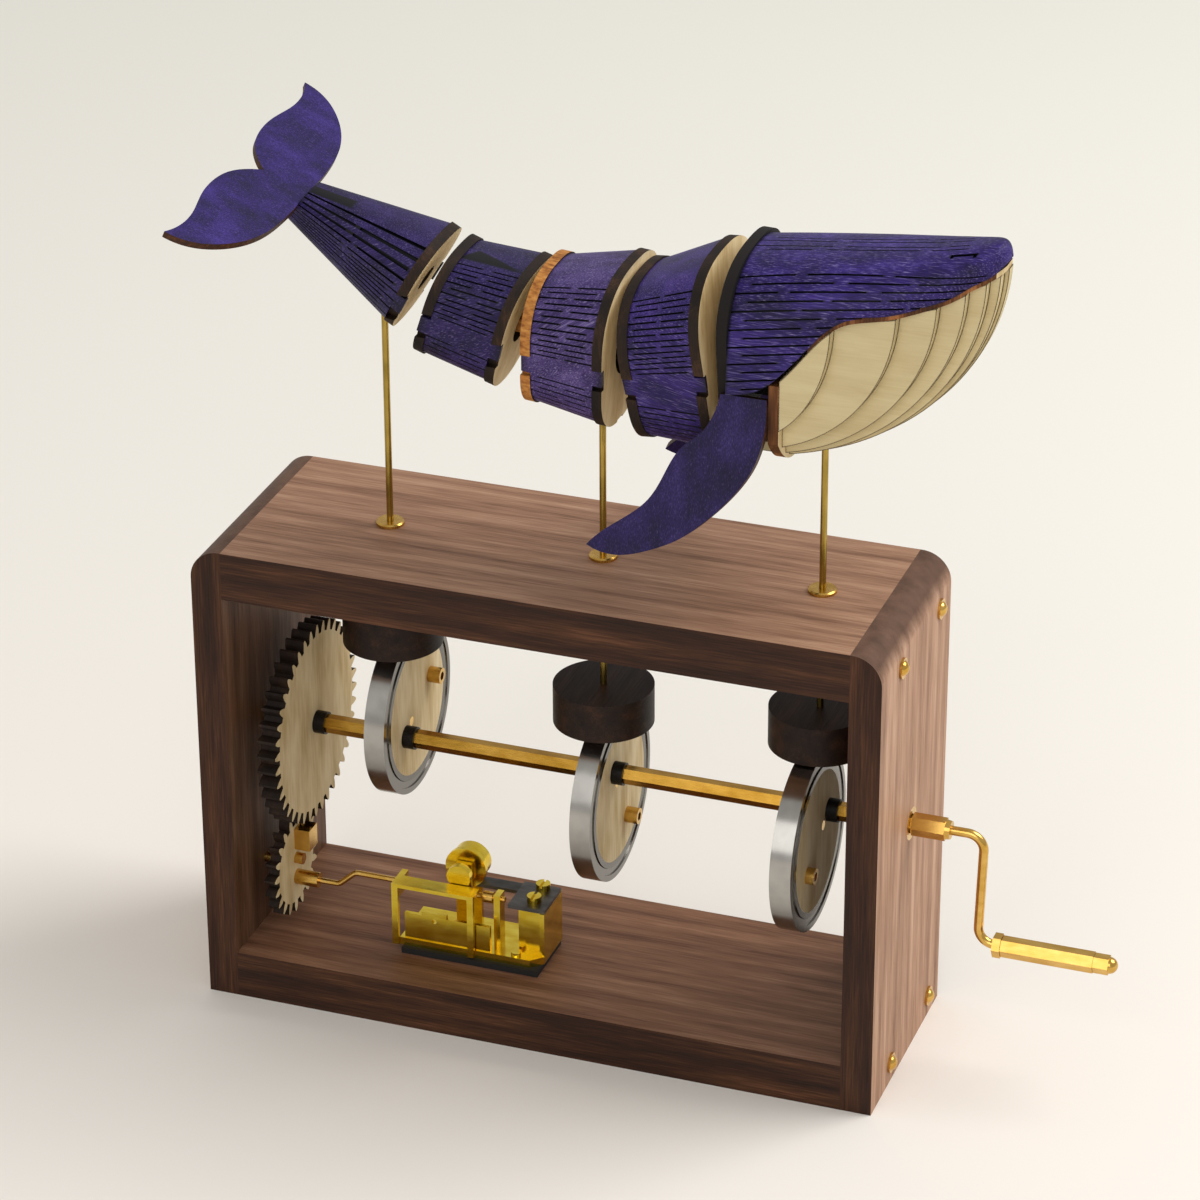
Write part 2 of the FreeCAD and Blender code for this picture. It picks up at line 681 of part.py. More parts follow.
# ---- whale -------------------------------------------------------------------
def body_radius(size, angle):
    """The body's outline: full shoulders, flat sides and a keeled belly."""
    return size * (1 - 0.042 * math.cos(2 * angle) + 0.064 * math.sin(3 * angle)
                   - 0.037 * math.cos(4 * angle) + 0.011 * math.sin(5 * angle))


def body_wire(x, z, lean, size, crown, belly, along=0.0):
    """The closed outline in a leaning plane, moved along that plane's own axis."""
    lean = math.radians(lean)
    cx = x + along * math.cos(lean)
    cz = z - along * math.sin(lean)
    points = []
    for i in range(24):
        a = 2 * math.pi * i / 24
        r = body_radius(size, a)
        up = r * math.sin(a) * (crown if a < math.pi else belly)
        points.append(Vector(cx + up * math.sin(lean), r * math.cos(a), cz + up * math.cos(lean)))
    curve = Part.BSplineCurve()
    curve.interpolate(points, True)
    return Part.Wire(curve.toShape())


def plate_axis(lean):
    """The forward normal of a bulkhead that leans towards the nose."""
    return Vector(math.cos(math.radians(lean)), 0, -math.sin(math.radians(lean)))


def body_plate(name, thickness):
    """A bulkhead: the outline as a plate, with a round window; thickness < 0 runs aft."""
    place = bulkheads[name]
    x, z, lean = place[:3]
    axis = plate_axis(lean)
    plate = Part.Face(body_wire(*place)).extrude(axis * thickness)
    start = Vector(x, 0, z) - axis * 2 * abs(thickness)
    hole = Part.makeCylinder(windows[name], 4 * abs(thickness), start, axis)
    return plate.cut(hole)


def resized(place, change):
    x, z, lean, size, crown, belly = place
    return x, z, lean, size + change, crown, belly


def side_tabs(name, thickness):
    """The stretch of skin that runs on over a bulkhead's edge, on both sides."""
    place = bulkheads[name]
    step = plate_axis(place[2]) * thickness
    outer = Part.Face(body_wire(*resized(place, -skin_reveal))).extrude(step)
    inner = Part.Face(body_wire(*resized(place, -skin_reveal - skin))).extrude(step)
    top = place[1] - tab_drops[name]
    reach = 2 * place[3]
    band = box(place[0] - reach, place[0] + reach, -reach, reach, top - tab_height, top)
    return outer.cut(inner).common(band)


def body_loft(back, front, inset, back_step=ply, front_step=ply):
    """The solid between two bulkheads' inner faces, its outline smaller by inset."""
    wires = [body_wire(*resized(back, -inset), along=back_step),
             body_wire(*resized(front, -inset), along=-front_step)]
    return Part.makeLoft(wires, True, True)


def notches(place, tabs):
    """A bulkhead's two edge notches: from its tabs out past its rim."""
    rim = Part.Face(body_wire(*resized(place, skin_reveal)))
    step = plate_axis(place[2]) * ply
    around = rim.extrude(step * 4).translated(step * -2)
    inside = Part.Face(body_wire(*resized(place, -skin_reveal - skin)))
    inside = inside.extrude(step * 4).translated(step * -2)
    bounds = tabs.BoundBox
    reach = 2 * place[3]
    band = box(bounds.XMin - ply, bounds.XMax + ply, -reach, reach, bounds.ZMin, bounds.ZMax)
    return around.cut(inside).common(band)


def rod_slot(name):
    """The passage in a belly through which a push rod reaches its ball joint."""
    aft, fore = [math.tan(math.radians(swing)) for swing in rod_swings[name]]
    x = stations[name]
    z = pivot_height[name]
    half = rod_slot_width / 2
    deep = 2 * bulkheads["head_back"][3]
    points = [(x - half - aft * deep, z - deep), (x + half + fore * deep, z - deep),
              (x + half, z), (x - half, z)]
    return prism_y(points, -half, half)


def pivot_ribs(x, z, radius, cavity):
    """Two lengthways ribs that hold a ball between them."""
    near = radius + rib_clearance
    reach = station_pitch
    ribs = []
    for y0, y1 in ((near, near + ply), (-near - ply, -near)):
        rib = box(x - reach, x + reach, y0, y1, z - rib_height / 2, z + rib_height / 2)
        ribs.append(rib.common(cavity))
    return ribs


def spine_tongue(name):
    """The tongue on the middle segment that reaches through two windows to a spine ball."""
    side = 1 if name == "neck" else -1
    ball = spine_balls[name]
    x0 = stations["middle"] + side * (socket_radius + rib_clearance)
    x1 = ball.x - side * (spine_ball_radius + rib_clearance)
    z0 = pivot_height["middle"]
    half = tongue_height / 2
    knee = x1 - side * ply
    lath = [(x0, z0 - half), (knee, z0 - half), (x1, ball.z - half),
            (x1, ball.z + half), (knee, z0 + half), (x0, z0 + half)]
    foot = socket_radius + rib_clearance
    root = box(min(x0, x0 + side * ply), max(x0, x0 + side * ply), -foot, foot, z0 - half, z0 + half)
    return prism_y(lath, -ply / 2, ply / 2).fuse(root).removeSplitter()


def segment(name, rib_x, rib_z, radius, slot=None):
    """One body segment as (skin, bulkheads and ribs)."""
    back = bulkheads[name + "_back"]
    front = bulkheads[name + "_front"]
    tabs = [side_tabs(name + "_back", ply), side_tabs(name + "_front", -ply)]
    shell = body_loft(back, front, skin_reveal).cut(body_loft(back, front, skin_reveal + skin))
    shell = shell.fuse(tabs).removeSplitter()
    cavity = body_loft(back, front, skin_reveal + skin + 0.2)
    plates = [body_plate(name + "_back", ply).cut(notches(back, tabs[0])),
              body_plate(name + "_front", -ply).cut(notches(front, tabs[1]))]
    plates += pivot_ribs(rib_x, rib_z, radius, cavity)
    if slot:
        shell = shell.cut(slot)
        plates = [plate.cut(slot) for plate in plates]
    return shell, plates


def tail_segment():
    tail_tip = bulkheads["tail_tip"]
    front = bulkheads["tail_front"]
    tabs = side_tabs("tail_front", -ply)
    outer = body_loft(tail_tip, front, skin_reveal, back_step=0)
    shell = outer.cut(body_loft(tail_tip, front, skin_reveal + skin, back_step=0))
    shell = shell.fuse(tabs).removeSplitter().cut(rod_slot("tail"))
    cavity = body_loft(tail_tip, front, skin_reveal + skin + 0.2, back_step=0)
    plates = [body_plate("tail_front", -ply).cut(notches(front, tabs))]
    ribs = pivot_ribs(stations["tail"], pivot_height["tail"], socket_radius, cavity)
    return shell.cut(fluke_slot()), plates + ribs


def to_fluke(shape):
    """Move a flat shape, drawn with +X to the root and +Y to port, to the fluke's plane."""
    shape.rotate(Vector(0, 0, 0), Vector(0, 0, 1), fluke_yaw)
    shape.rotate(Vector(0, 0, 0), X_AXIS, fluke_roll)
    shape.rotate(Vector(0, 0, 0), Y_AXIS, fluke_pitch)
    shape.translate(Vector(fluke_root[0], 0, frame_height + fluke_root[1]))
    return shape


fluke_trailing = [(0.0, -9.3), (4.0, -13.4), (9.0, -16.5), (17.0, -18.3), (26.0, -18.0),
                  (36.0, -16.2), (44.5, -16.4), (50.6, -18.4)]
fluke_leading = [(48.0, -9.6), (43.5, -4.6), (36.5, 0.1), (28.0, 3.2), (18.0, 4.6), (8.0, 4.9), (3.0, 4.6)]


def fluke_plate():
    """Both lobes of the tail fin as one flat plate; its tongue goes into the tail."""
    edges = []
    for side in (1, -1):
        trailing = [Vector(-abs(u), side * v, 0) for v, u in fluke_trailing]
        leading = [trailing[-1]] + [Vector(u, side * v, 0) for v, u in fluke_leading]
        edges += [spline(trailing), spline(leading)]
        edges.append(Part.LineSegment(leading[-1], Vector(fluke_tongue, side * 3.0, 0)).toShape())
    edges.append(Part.LineSegment(Vector(fluke_tongue, 3.0, 0), Vector(fluke_tongue, -3.0, 0)).toShape())
    wire = Part.Wire(Part.__sortEdges__(edges))
    plate = Part.Face(wire).extrude(Vector(0, 0, fluke_thickness))
    plate.translate(Vector(0, 0, -fluke_thickness / 2))
    return to_fluke(plate)


def fluke_slot():
    """The slot in the tail that takes the fluke's plate."""
    height = fluke_thickness + 2 * ball_clearance
    reach = frame_depth / 2
    return to_fluke(Part.makeBox(reach + fluke_tongue + 2, 2 * reach, height,
                                 Vector(-reach, -reach, -height / 2)))


# ---- head --------------------------------------------------------------------
def plan_half_width(x):
    t = max(0.0, min(1.0, (x - head_start) / head_length))
    return head_half_width * math.sqrt(1 - t * t)


def plan_reach(y):
    """How far forward the plan's edge lies at a distance from the middle plane."""
    return head_start + head_length * math.sqrt(1 - min(1.0, (y / head_half_width) ** 2))


def mouth_height(x):
    for (x0, z0), (x1, z1) in zip(mouth_line, mouth_line[1:]):
        if x <= x1:
            return z0 + (z1 - z0) * (x - x0) / (x1 - x0)
    return mouth_line[-1][1]


def above_mouth(drop=0.0):
    """Everything above the mouth line, lowered by drop."""
    side = -2 * head_half_width
    line = [Vector(x, side, z - drop) for x, z in mouth_line]
    roof = nose_height + head_half_width
    fore = line[-1].x + head_half_width
    aft = line[0].x - head_half_width
    corners = [line[-1], Vector(fore, side, line[-1].z), Vector(fore, side, roof),
               Vector(aft, side, roof), Vector(aft, side, line[0].z), line[0]]
    edges = [spline(line)]
    edges += [Part.LineSegment(a, b).toShape() for a, b in zip(corners, corners[1:])]
    return Part.Face(Part.Wire(edges)).extrude(Vector(0, -2 * side, 0))


def head_section(x, inset):
    """The head's outline across at x: an arch over sides that hang straight."""
    back_x, back_z, lean, size = bulkheads["head_back"][:4]
    back_top = back_z + 0.95 * size - 2 * skin_reveal
    t = (x - back_x) / (head_start + head_length - back_x)
    side_z = back_z + (nose_side_height - back_z) * t
    top = back_top + (nose_height - back_top) * t + nose_lift * t ** 6 - nose_droop * t ** 60 - inset
    side = max(plan_half_width(x) - inset, 0.4)
    points = []
    for i in range(13):
        a = math.pi * i / 12
        y = side * math.copysign(abs(math.cos(a)) ** 0.8, math.cos(a))
        points.append(Vector(x, y, side_z + (top - side_z) * math.sin(a) ** 0.8))
    low = jaw_floor - jaw_floor_rise
    edges = [spline(points)]
    corners = [points[-1], Vector(x, points[-1].y, low), Vector(x, points[0].y, low), points[0]]
    edges += [Part.LineSegment(a, b).toShape() for a, b in zip(corners, corners[1:])]
    return Part.Wire(edges)


def behind_head_back():
    """Everything behind the front face of the head's back bulkhead."""
    x, z, lean, size = bulkheads["head_back"][:4]
    slope = math.tan(math.radians(lean))
    face = x + ply / math.cos(math.radians(lean))
    reach = 3 * size
    points = [(face - reach * slope, z - reach), (face + reach * slope, z + reach),
              (0, z + reach), (0, z - reach)]
    return prism_y(points, -reach, reach)


def head_form(inset):
    """The head's full form, from inside the back bulkhead to the nose."""
    back = bulkheads["head_back"][0] + ply / 2
    nose = head_start + head_length - inset
    shares = (0.0, 0.2, 0.4, 0.57, 0.72, 0.84, 0.93, 0.97, 0.99, 0.998)
    wires = [head_section(back + (nose - back) * share, inset) for share in shares]
    return Part.makeLoft(wires, True, True)


def head_skin():
    shell = head_form(0.0).cut(head_form(skin)).common(above_mouth())
    shell = shell.cut(behind_head_back())
    return shell.cut(pectoral_fin(1)).cut(pectoral_fin(-1))


def jaw_depth(y):
    """The height of the jaw's floor at a distance from the middle plane."""
    widest = jaw_pitch * (jaw_side_plates + 0.5)
    return jaw_floor + jaw_floor_rise * (abs(y) / widest) ** 3


def jaw_plate(index):
    """One upright plate of the jaw; its front is a quarter of an ellipse."""
    outer = (abs(index) + 0.5) * jaw_pitch
    y0 = (index - 0.5) * jaw_pitch
    front = plan_reach(outer)
    floor = jaw_depth(outer)
    brow = mouth_height(front)
    back = jaw_back[1]
    curve = []
    for i in range(9):
        a = math.pi / 2 * i / 8
        curve.append(Vector(head_start + (front - head_start) * math.sin(a), y0,
                            brow - (brow - floor) * math.cos(a)))
    curve = [p for p in curve if p.x > back + 1.0]
    t = (back - head_start) / (front - head_start)
    start = Vector(back, y0, brow - (brow - floor) * math.sqrt(1 - t * t))
    curve = [start] + curve
    top = nose_height + head_half_width
    corners = [curve[-1], Vector(front, y0, top), Vector(back, y0, top), start]
    edges = [spline(curve)]
    edges += [Part.LineSegment(a, b).toShape() for a, b in zip(corners, corners[1:])]
    return Part.Face(Part.Wire(edges)).extrude(Vector(0, jaw_pitch, 0))


def ball_pocket():
    """Room in the middle of the jaw for the ball joint and its rod."""
    x = stations["head"]
    z = pivot_height["head"]
    half = socket_radius + rib_clearance
    ball_room = box(x - half - 1, x + half + 1, -half, half, z - half - 1, z + half + 1)
    return ball_room.fuse(rod_slot("head"))


def jaw_plates():
    """The stack of upright plates that fill the throat, outermost ones smallest."""
    roof = above_mouth(mouth_plate_thickness)
    pocket = ball_pocket()
    plates = []
    for index in range(-jaw_side_plates, jaw_side_plates + 1):
        plate = jaw_plate(index).cut(roof)
        if abs(index) * jaw_pitch < socket_radius + jaw_pitch:
            plate = plate.cut(pocket)
        plates.append(plate)
    keel = box(jaw_back[0] - keel_length + ply, jaw_back[0], -keel_half_width, keel_half_width,
               jaw_floor, jaw_floor + ply)
    return plates + [keel]


def jaw_bulkhead():
    """The upright plate across the back of the jaw."""
    x0, x1 = jaw_back
    half = jaw_pitch * (jaw_side_plates + 0.5)
    low = [Vector(x0, half * i / 6, jaw_depth(half * i / 6)) for i in range(-6, 7)]
    top = mouth_height(x0) - 0.5
    corners = [low[-1], Vector(x0, half, top), Vector(x0, -half, top), low[0]]
    edges = [spline(low)]
    edges += [Part.LineSegment(a, b).toShape() for a, b in zip(corners, corners[1:])]
    plate = Part.Face(Part.Wire(edges)).extrude(Vector(x1 - x0, 0, 0))
    return plate.cut(rod_slot("head"))


def mouth_plate():
    """The thin plate that follows the mouth line between the skin and the jaw."""
    band = above_mouth(mouth_plate_thickness).cut(above_mouth())
    side = 2 * head_half_width
    bounds = box(jaw_back[1] + mouth_plate_setback, jaw_back[1] + 2 * head_length, -side, side,
                 jaw_floor, nose_height + side)
    room = head_form(skin_reveal).common(bounds)
    pocket = ball_pocket()
    return band.common(room).cut(pocket)


def head_ribs():
    """Ribs from the back bulkhead to the jaw's bulkhead, beside the middle plane."""
    x0 = bulkheads["head_back"][0] + ply + 0.4
    x1 = jaw_back[0]
    z = bulkheads["head_back"][1] - 8.0
    return [box(x0, x1, y0, y0 + ply, z - 8.0, z + 2.0) for y0 in (8.0, -8.0 - ply)]


fin_outline = [(53.0, -6.0), (51.3, 0.7), (47.5, 6.6), (44.0, 9.6), (38.0, 20.7), (34.7, 26.6),
               (25.6, 34.6), (17.9, 41.8)]
fin_front = [(17.9, 41.8), (28.2, 43.4), (36.0, 41.0), (44.7, 36.5), (53.1, 29.2), (59.7, 21.5),
             (64.3, 13.5), (66.3, 6.0), (66.4, -6.0)]


def pectoral_fin(side):
    """A flat flipper that splays outwards as it hangs."""
    back = [Vector(x, 0, -down) for x, down in fin_outline]
    front = [Vector(x, 0, -down) for x, down in fin_front]
    edges = [spline(back), spline(front), Part.LineSegment(front[-1], back[0]).toShape()]
    fin = Part.Face(Part.Wire(edges)).extrude(Vector(0, ply, 0))
    fin.translate(Vector(0, -ply / 2, 0))
    fin.rotate(Vector(0, 0, 0), X_AXIS, side * fin_splay)
    fin.translate(Vector(0, side * fin_inset, fin_top))
    return fin


def build():
    os.makedirs("parts", exist_ok=True)
    save("left_side_board", side_board(-1))
    save("right_side_board", side_board(1))
    save("top_board", top_board())
    save("bottom_board", deck(0, deck_thickness))
    save("frame_screws", *[frame_screw(s, y, z) for s in (-1, 1) for y, z in screw_places])
    save("rod_bushings", *[rod_bushing(x) for x in stations.values()])
    save("shaft_bushes", shaft_bush(-1), shaft_bush(1))

    save("camshaft_bar", camshaft_bar())
    save("shaft_collars", *shaft_collars())
    save("drive_gear", drive_gear())
    save("crank_hub", crank_hub())
    save("crank_arm", crank_arm())
    save("handle_nuts", *handle_nuts())
    save("handle_sleeve", handle_sleeve())
    save("cam_cores", *[cam_core(name) for name in stations])
    save("cam_inner_races", *[inner_race(name) for name in stations])
    save("cam_balls", *[ball for name in stations for ball in bearing_balls(name)])
    save("cam_clamp_screws", *[cam_clamp_screw(name) for name in stations])
    for name in stations:
        save("cam_ring_" + name, *outer_race(name))
        save("cam_dowel_" + name, cam_dowel(name))
        save("follower_" + name, follower(name))
        save("push_rod_" + name, push_rod(name))
        save("rod_ball_" + name, rod_ball(name))
        save("ball_socket_" + name, ball_socket(name))

    save("pinion_gear", pinion_gear())
    save("pinion_coupling", *pinion_coupling())
    save("crank_wire", *crank_wire())
    save("movement_pad", movement_pad())
    save("movement_bedplate", movement_bedplate())
    save("movement_bridge", *movement_bridge())
    save("movement_comb", movement_comb())
    save("movement_screws", *movement_screws())
    save("pin_drum", pin_drum())

    shells = {
        "middle": segment("middle", stations["middle"], pivot_height["middle"], socket_radius,
                          rod_slot("middle")),
        "neck": segment("neck", spine_balls["neck"].x, spine_balls["neck"].z, spine_ball_radius),
        "rear": segment("rear", spine_balls["rear"].x, spine_balls["rear"].z, spine_ball_radius),
        "tail": tail_segment(),
    }
    shells["middle"][1].extend(spine_tongue(name) for name in spine_balls)
    for name, (shell, plates) in shells.items():
        save(name + "_skin", shell)
        save(name + "_bulkheads", *plates)
    for name, place in spine_balls.items():
        save("spine_ball_" + name, Part.makeSphere(spine_ball_radius, place))
    save("tail_flukes", fluke_plate())
    save("head_skin", head_skin())
    back_plate = body_plate("head_back", ply).cut(pectoral_fin(1)).cut(pectoral_fin(-1))
    head_plates = [back_plate, jaw_bulkhead(), mouth_plate()]
    save("head_plates", *head_plates, *head_ribs())
    save("jaw_plates", *jaw_plates())
    save("pectoral_fins", pectoral_fin(1), pectoral_fin(-1))


build()
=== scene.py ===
import bpy
import bmesh
import math
import numpy as np
from mathutils import Matrix, Vector


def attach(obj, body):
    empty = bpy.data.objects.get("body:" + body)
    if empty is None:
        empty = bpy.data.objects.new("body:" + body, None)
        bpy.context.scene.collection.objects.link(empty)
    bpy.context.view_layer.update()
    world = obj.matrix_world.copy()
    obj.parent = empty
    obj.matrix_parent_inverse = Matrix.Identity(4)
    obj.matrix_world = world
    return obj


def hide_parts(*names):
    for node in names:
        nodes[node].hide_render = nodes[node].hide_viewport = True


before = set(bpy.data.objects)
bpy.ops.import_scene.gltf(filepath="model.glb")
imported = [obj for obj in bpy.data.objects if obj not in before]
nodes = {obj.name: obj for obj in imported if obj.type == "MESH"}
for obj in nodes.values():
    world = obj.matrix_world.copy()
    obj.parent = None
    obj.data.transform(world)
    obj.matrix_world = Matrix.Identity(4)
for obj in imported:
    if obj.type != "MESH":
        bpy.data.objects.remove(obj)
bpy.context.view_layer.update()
mm = 0.001

# ---- camera and studio -----------------------------------------------------------
# A long lens looks down on the toy from its right front corner.
# The table is a sheet of paper that runs out into a pale room, under two soft boxes.
view_azimuth = math.radians(19.84)
view_elevation = math.radians(27.09)
view_roll = math.radians(-0.234)
view_distance = 1361.8 * mm
aim = Vector((9.16, 0, 135.78)) * mm
focal_length = 140.49
sensor = 36.0

right = Vector((math.cos(view_azimuth), math.sin(view_azimuth), 0))
back = Vector((math.sin(view_azimuth) * math.cos(view_elevation),
               -math.cos(view_azimuth) * math.cos(view_elevation), math.sin(view_elevation)))
up = back.cross(right)
camera = bpy.data.objects.new("camera", bpy.data.cameras.new("camera"))
turn = Matrix.Rotation(view_roll, 3, back)
camera.matrix_world = Matrix((turn @ right, turn @ up, back)).transposed().to_4x4()
camera.location = aim + back * view_distance
camera.data.lens = focal_length
camera.data.sensor_width = sensor
camera.data.clip_end = 20
bpy.context.scene.collection.objects.link(camera)
bpy.context.scene.camera = camera
bpy.context.scene.view_settings.view_transform = "Standard"


def soft_box(name, place, target, size, power, tint):
    """A square lamp at place that faces target."""
    lamp = bpy.data.lights.new(name, "AREA")
    lamp.size = size
    lamp.energy = power
    lamp.color = tint
    box = bpy.data.objects.new(name, lamp)
    box.location = place
    box.rotation_euler = (Vector(target) - Vector(place)).to_track_quat("-Z", "Y").to_euler()
    bpy.context.scene.collection.objects.link(box)


def paint(hex_colour):
    """An sRGB hex colour as the linear red, green, blue and alpha of the shaders."""
    parts = [int(hex_colour[i:i + 2], 16) / 255 for i in (1, 3, 5)]
    linear = [c / 12.92 if c <= 0.04045 else ((c + 0.055) / 1.055) ** 2.4 for c in parts]
    return (*linear, 1.0)


def finish_named(name, **sockets):
    """A material and its shader, with values on the shader's own sockets (_ stands for a space)."""
    material = bpy.data.materials.new(name)
    material.use_nodes = True
    shader = material.node_tree.nodes["Principled BSDF"]
    for key, value in sockets.items():
        shader.inputs[key.replace("_", " ")].default_value = value
    return material, shader


def add(material, kind, settings=None, links=None):
    """Adds one shader node, sets its properties, sockets or ramp stops, and links its inputs."""
    made = material.node_tree.nodes.new("ShaderNode" + kind)
    for key, value in (settings or {}).items():
        if key == "stops":
            elements = made.color_ramp.elements
            elements.remove(elements[1])
            elements[0].position, elements[0].color = value[0]
            for position, colour in value[1:]:
                elements.new(position).color = colour
        elif isinstance(key, int) or key in made.inputs:
            made.inputs[key].default_value = value
        else:
            setattr(made, key, value)
    for key, socket in (links or {}).items():
        material.node_tree.links.new(socket, made.inputs[key])
    return made


soft_box("window_light", (1.1, 0.55, 1.5), (0, 0, 0.13), 1.1, 23, (1.0, 0.985, 0.975))
soft_box("front_light", (0.1, -1.5, 0.9), (0, 0, 0.16), 1.2, 8, (1.0, 0.98, 0.97))
world = bpy.data.worlds.new("room")
bpy.context.scene.world = world
world.use_nodes = True
world.node_tree.nodes["Background"].inputs["Color"].default_value = paint("#f3f1ed")
world.node_tree.nodes["Background"].inputs["Strength"].default_value = 0.64

# The paper is a matt warm white, painted a little darker and cooler towards the back as painted light.
floor_mesh = bpy.data.meshes.new("table")
reach = 6.0
corners = [(-reach, -reach, 0), (reach, -reach, 0), (reach, reach, 0), (-reach, reach, 0)]
floor_mesh.from_pydata(corners, [], [(0, 1, 2, 3)])
floor = bpy.data.objects.new("table", floor_mesh)
bpy.context.scene.collection.objects.link(floor)
paper, paper_shader = finish_named("matt_paper", Roughness=0.9)
place = add(paper, "TexCoord").outputs["Object"]
depth = add(paper, "SeparateXYZ", links={0: place}).outputs["Y"]
share = add(paper, "MapRange", {"From Min": -0.4, "From Max": 0.9}, {"Value": depth})
# painted light: the paper darkens and cools from front to back
fade = add(paper, "ValToRGB", {"stops": [(0.0, paint("#f0eae4")), (1.0, paint("#ebeae2"))]},
           {"Fac": share.outputs[0]})
paper.node_tree.links.new(fade.outputs["Color"], paper_shader.inputs["Base Color"])
floor_mesh.materials.append(paper)


# ---- walnut frame ----------------------------------------------------------------
# Four boards of solid walnut, butted and screwed: two uprights and two decks.
# The broad faces are planed and oiled and the long edges stained almost black. Painted light and shade:
# the uprights are painted lighter outside and darker inside, and the bottom board darker than the top.
def dress(material, *names):
    """Gives a material to CAD nodes."""
    for name in names:
        if not nodes[name].material_slots:
            nodes[name].data.materials.append(None)
        for slot in nodes[name].material_slots:
            slot.material = material


def streaks(material, along, width, length, detail=2.0, turn_by=(0, 0, 0), seed=0.0):
    """Noise drawn out along one axis: streaks width mm wide and length mm long."""
    size = [1 / (width * mm)] * 3
    size["XYZ".index(along)] = 1 / (length * mm)
    place = add(material, "TexCoord").outputs["Object"]
    turned = add(material, "Mapping", {"Rotation": turn_by}, {"Vector": place}).outputs[0]
    scaled = add(material, "Mapping", {"Scale": size, "Location": (seed, seed, seed)},
                 {"Vector": turned}).outputs[0]
    noise = add(material, "TexNoise", {"Scale": 1.0, "Detail": detail, "Roughness": 0.6}, {"Vector": scaled})
    return noise.outputs[0]


def facing(material, axis, least):
    """1 where the surface faces along the axis, either way, and 0 where it doesn't."""
    normal = add(material, "TexCoord").outputs["Normal"]
    part = add(material, "SeparateXYZ", links={0: normal}).outputs[axis]
    size = add(material, "Math", {"operation": "ABSOLUTE"}, {0: part}).outputs[0]
    return add(material, "Math", {"operation": "GREATER_THAN", 1: least}, {0: size}).outputs[0]


def looking_at(material, middle):
    """1 where the surface faces the plane x = middle mm, and 0 where it looks away from it."""
    coordinates = add(material, "TexCoord").outputs
    normal = add(material, "SeparateXYZ", links={0: coordinates["Normal"]}).outputs["X"]
    place = add(material, "SeparateXYZ", links={0: coordinates["Object"]}).outputs["X"]
    past = add(material, "Math", {"operation": "SUBTRACT", 1: middle * mm}, {0: place}).outputs[0]
    away = add(material, "Math", {"operation": "MULTIPLY"}, {0: normal, 1: past}).outputs[0]
    return add(material, "Math", {"operation": "LESS_THAN", 1: 0.0}, {0: away}).outputs[0]


def bumped(material, shader, height, size):
    """Raises the surface by a pattern; size is the relief in mm."""
    bump = add(material, "Bump", {"Strength": 0.6, "Distance": size * mm}, {"Height": height})
    material.node_tree.links.new(bump.outputs["Normal"], shader.inputs["Normal"])


def walnut(name, along, face_stops, edge_stops, shaded_inside_stops=None, end_stops=None):
    """Walnut: 5 mm wide figure and 0.45 mm pores along the grain, wider than real so that they
    show; planed, oiled, half matt. The long edges face Y; the inner stops, painted shade, are for
    faces that look at x = 0, the end stops for end grain, which faces upwards."""
    material, shader = finish_named(name, Roughness=0.5, Specular_IOR_Level=0.2)
    figure = streaks(material, along, 5.0, 90.0, 5.0)
    pores = streaks(material, along, 0.45, 12.0, 2.0, seed=3.0)
    tone = add(material, "Math", {"operation": "MULTIPLY_ADD", 1: 0.42}, {0: pores, 2: figure}).outputs[0]
    tone = add(material, "MapRange", {"From Min": 0.45, "From Max": 0.95}, {"Value": tone}).outputs[0]
    face = add(material, "ValToRGB", {"stops": face_stops}, {"Fac": tone}).outputs["Color"]
    edge = add(material, "ValToRGB", {"stops": edge_stops}, {"Fac": tone}).outputs["Color"]
    # painted shade: faces that look at x = 0, inside the frame, take the darker inner stops
    if shaded_inside_stops:
        inner = add(material, "ValToRGB", {"stops": shaded_inside_stops}, {"Fac": tone}).outputs["Color"]
        face = add(material, "MixRGB", links={"Fac": looking_at(material, 0.0), "Color1": face,
                                              "Color2": inner}).outputs["Color"]
    if end_stops:
        end = add(material, "ValToRGB", {"stops": end_stops}, {"Fac": figure}).outputs["Color"]
        normal = add(material, "TexCoord").outputs["Normal"]
        upward = add(material, "SeparateXYZ", links={0: normal}).outputs["Z"]
        share = add(material, "MapRange", {"From Min": 0.1, "From Max": 0.6}, {"Value": upward}).outputs[0]
        face = add(material, "MixRGB", links={"Fac": share, "Color1": face, "Color2": end}).outputs["Color"]
    side = facing(material, "Y", 0.7)
    colour = add(material, "MixRGB", links={"Fac": side, "Color1": face, "Color2": edge}).outputs["Color"]
    material.node_tree.links.new(colour, shader.inputs["Base Color"])
    gloss = add(material, "MapRange", {"To Min": 0.62, "To Max": 0.42}, {"Value": pores}).outputs[0]
    material.node_tree.links.new(gloss, shader.inputs["Roughness"])
    bumped(material, shader, pores, 0.12)
    return material


walnut_face = [(0.0, paint("#5f4230")), (0.35, paint("#8a6650")), (0.65, paint("#a07a61")),
               (1.0, paint("#b8947a"))]
# painted shade: the bottom board, under the top board and the whale, is darker than the top
walnut_shaded_floor = [(0.0, paint("#4a2e20")), (0.35, paint("#6d4b37")), (0.65, paint("#805b44")),
                (1.0, paint("#99745b"))]
walnut_edge = [(0.0, paint("#1c0e07")), (0.4, paint("#311b10")), (0.7, paint("#452918")),
               (1.0, paint("#603d28"))]
# painted light: the uprights' faces are lighter than the top board's, as a lit copy of the same walnut
walnut_lit_side = [(0.0, paint("#6f4f3b")), (0.35, paint("#9a745b")), (0.65, paint("#b18a70")),
               (1.0, paint("#c7a389"))]
walnut_end = [(0.3, paint("#523a2d")), (0.7, paint("#6b4f3f"))]
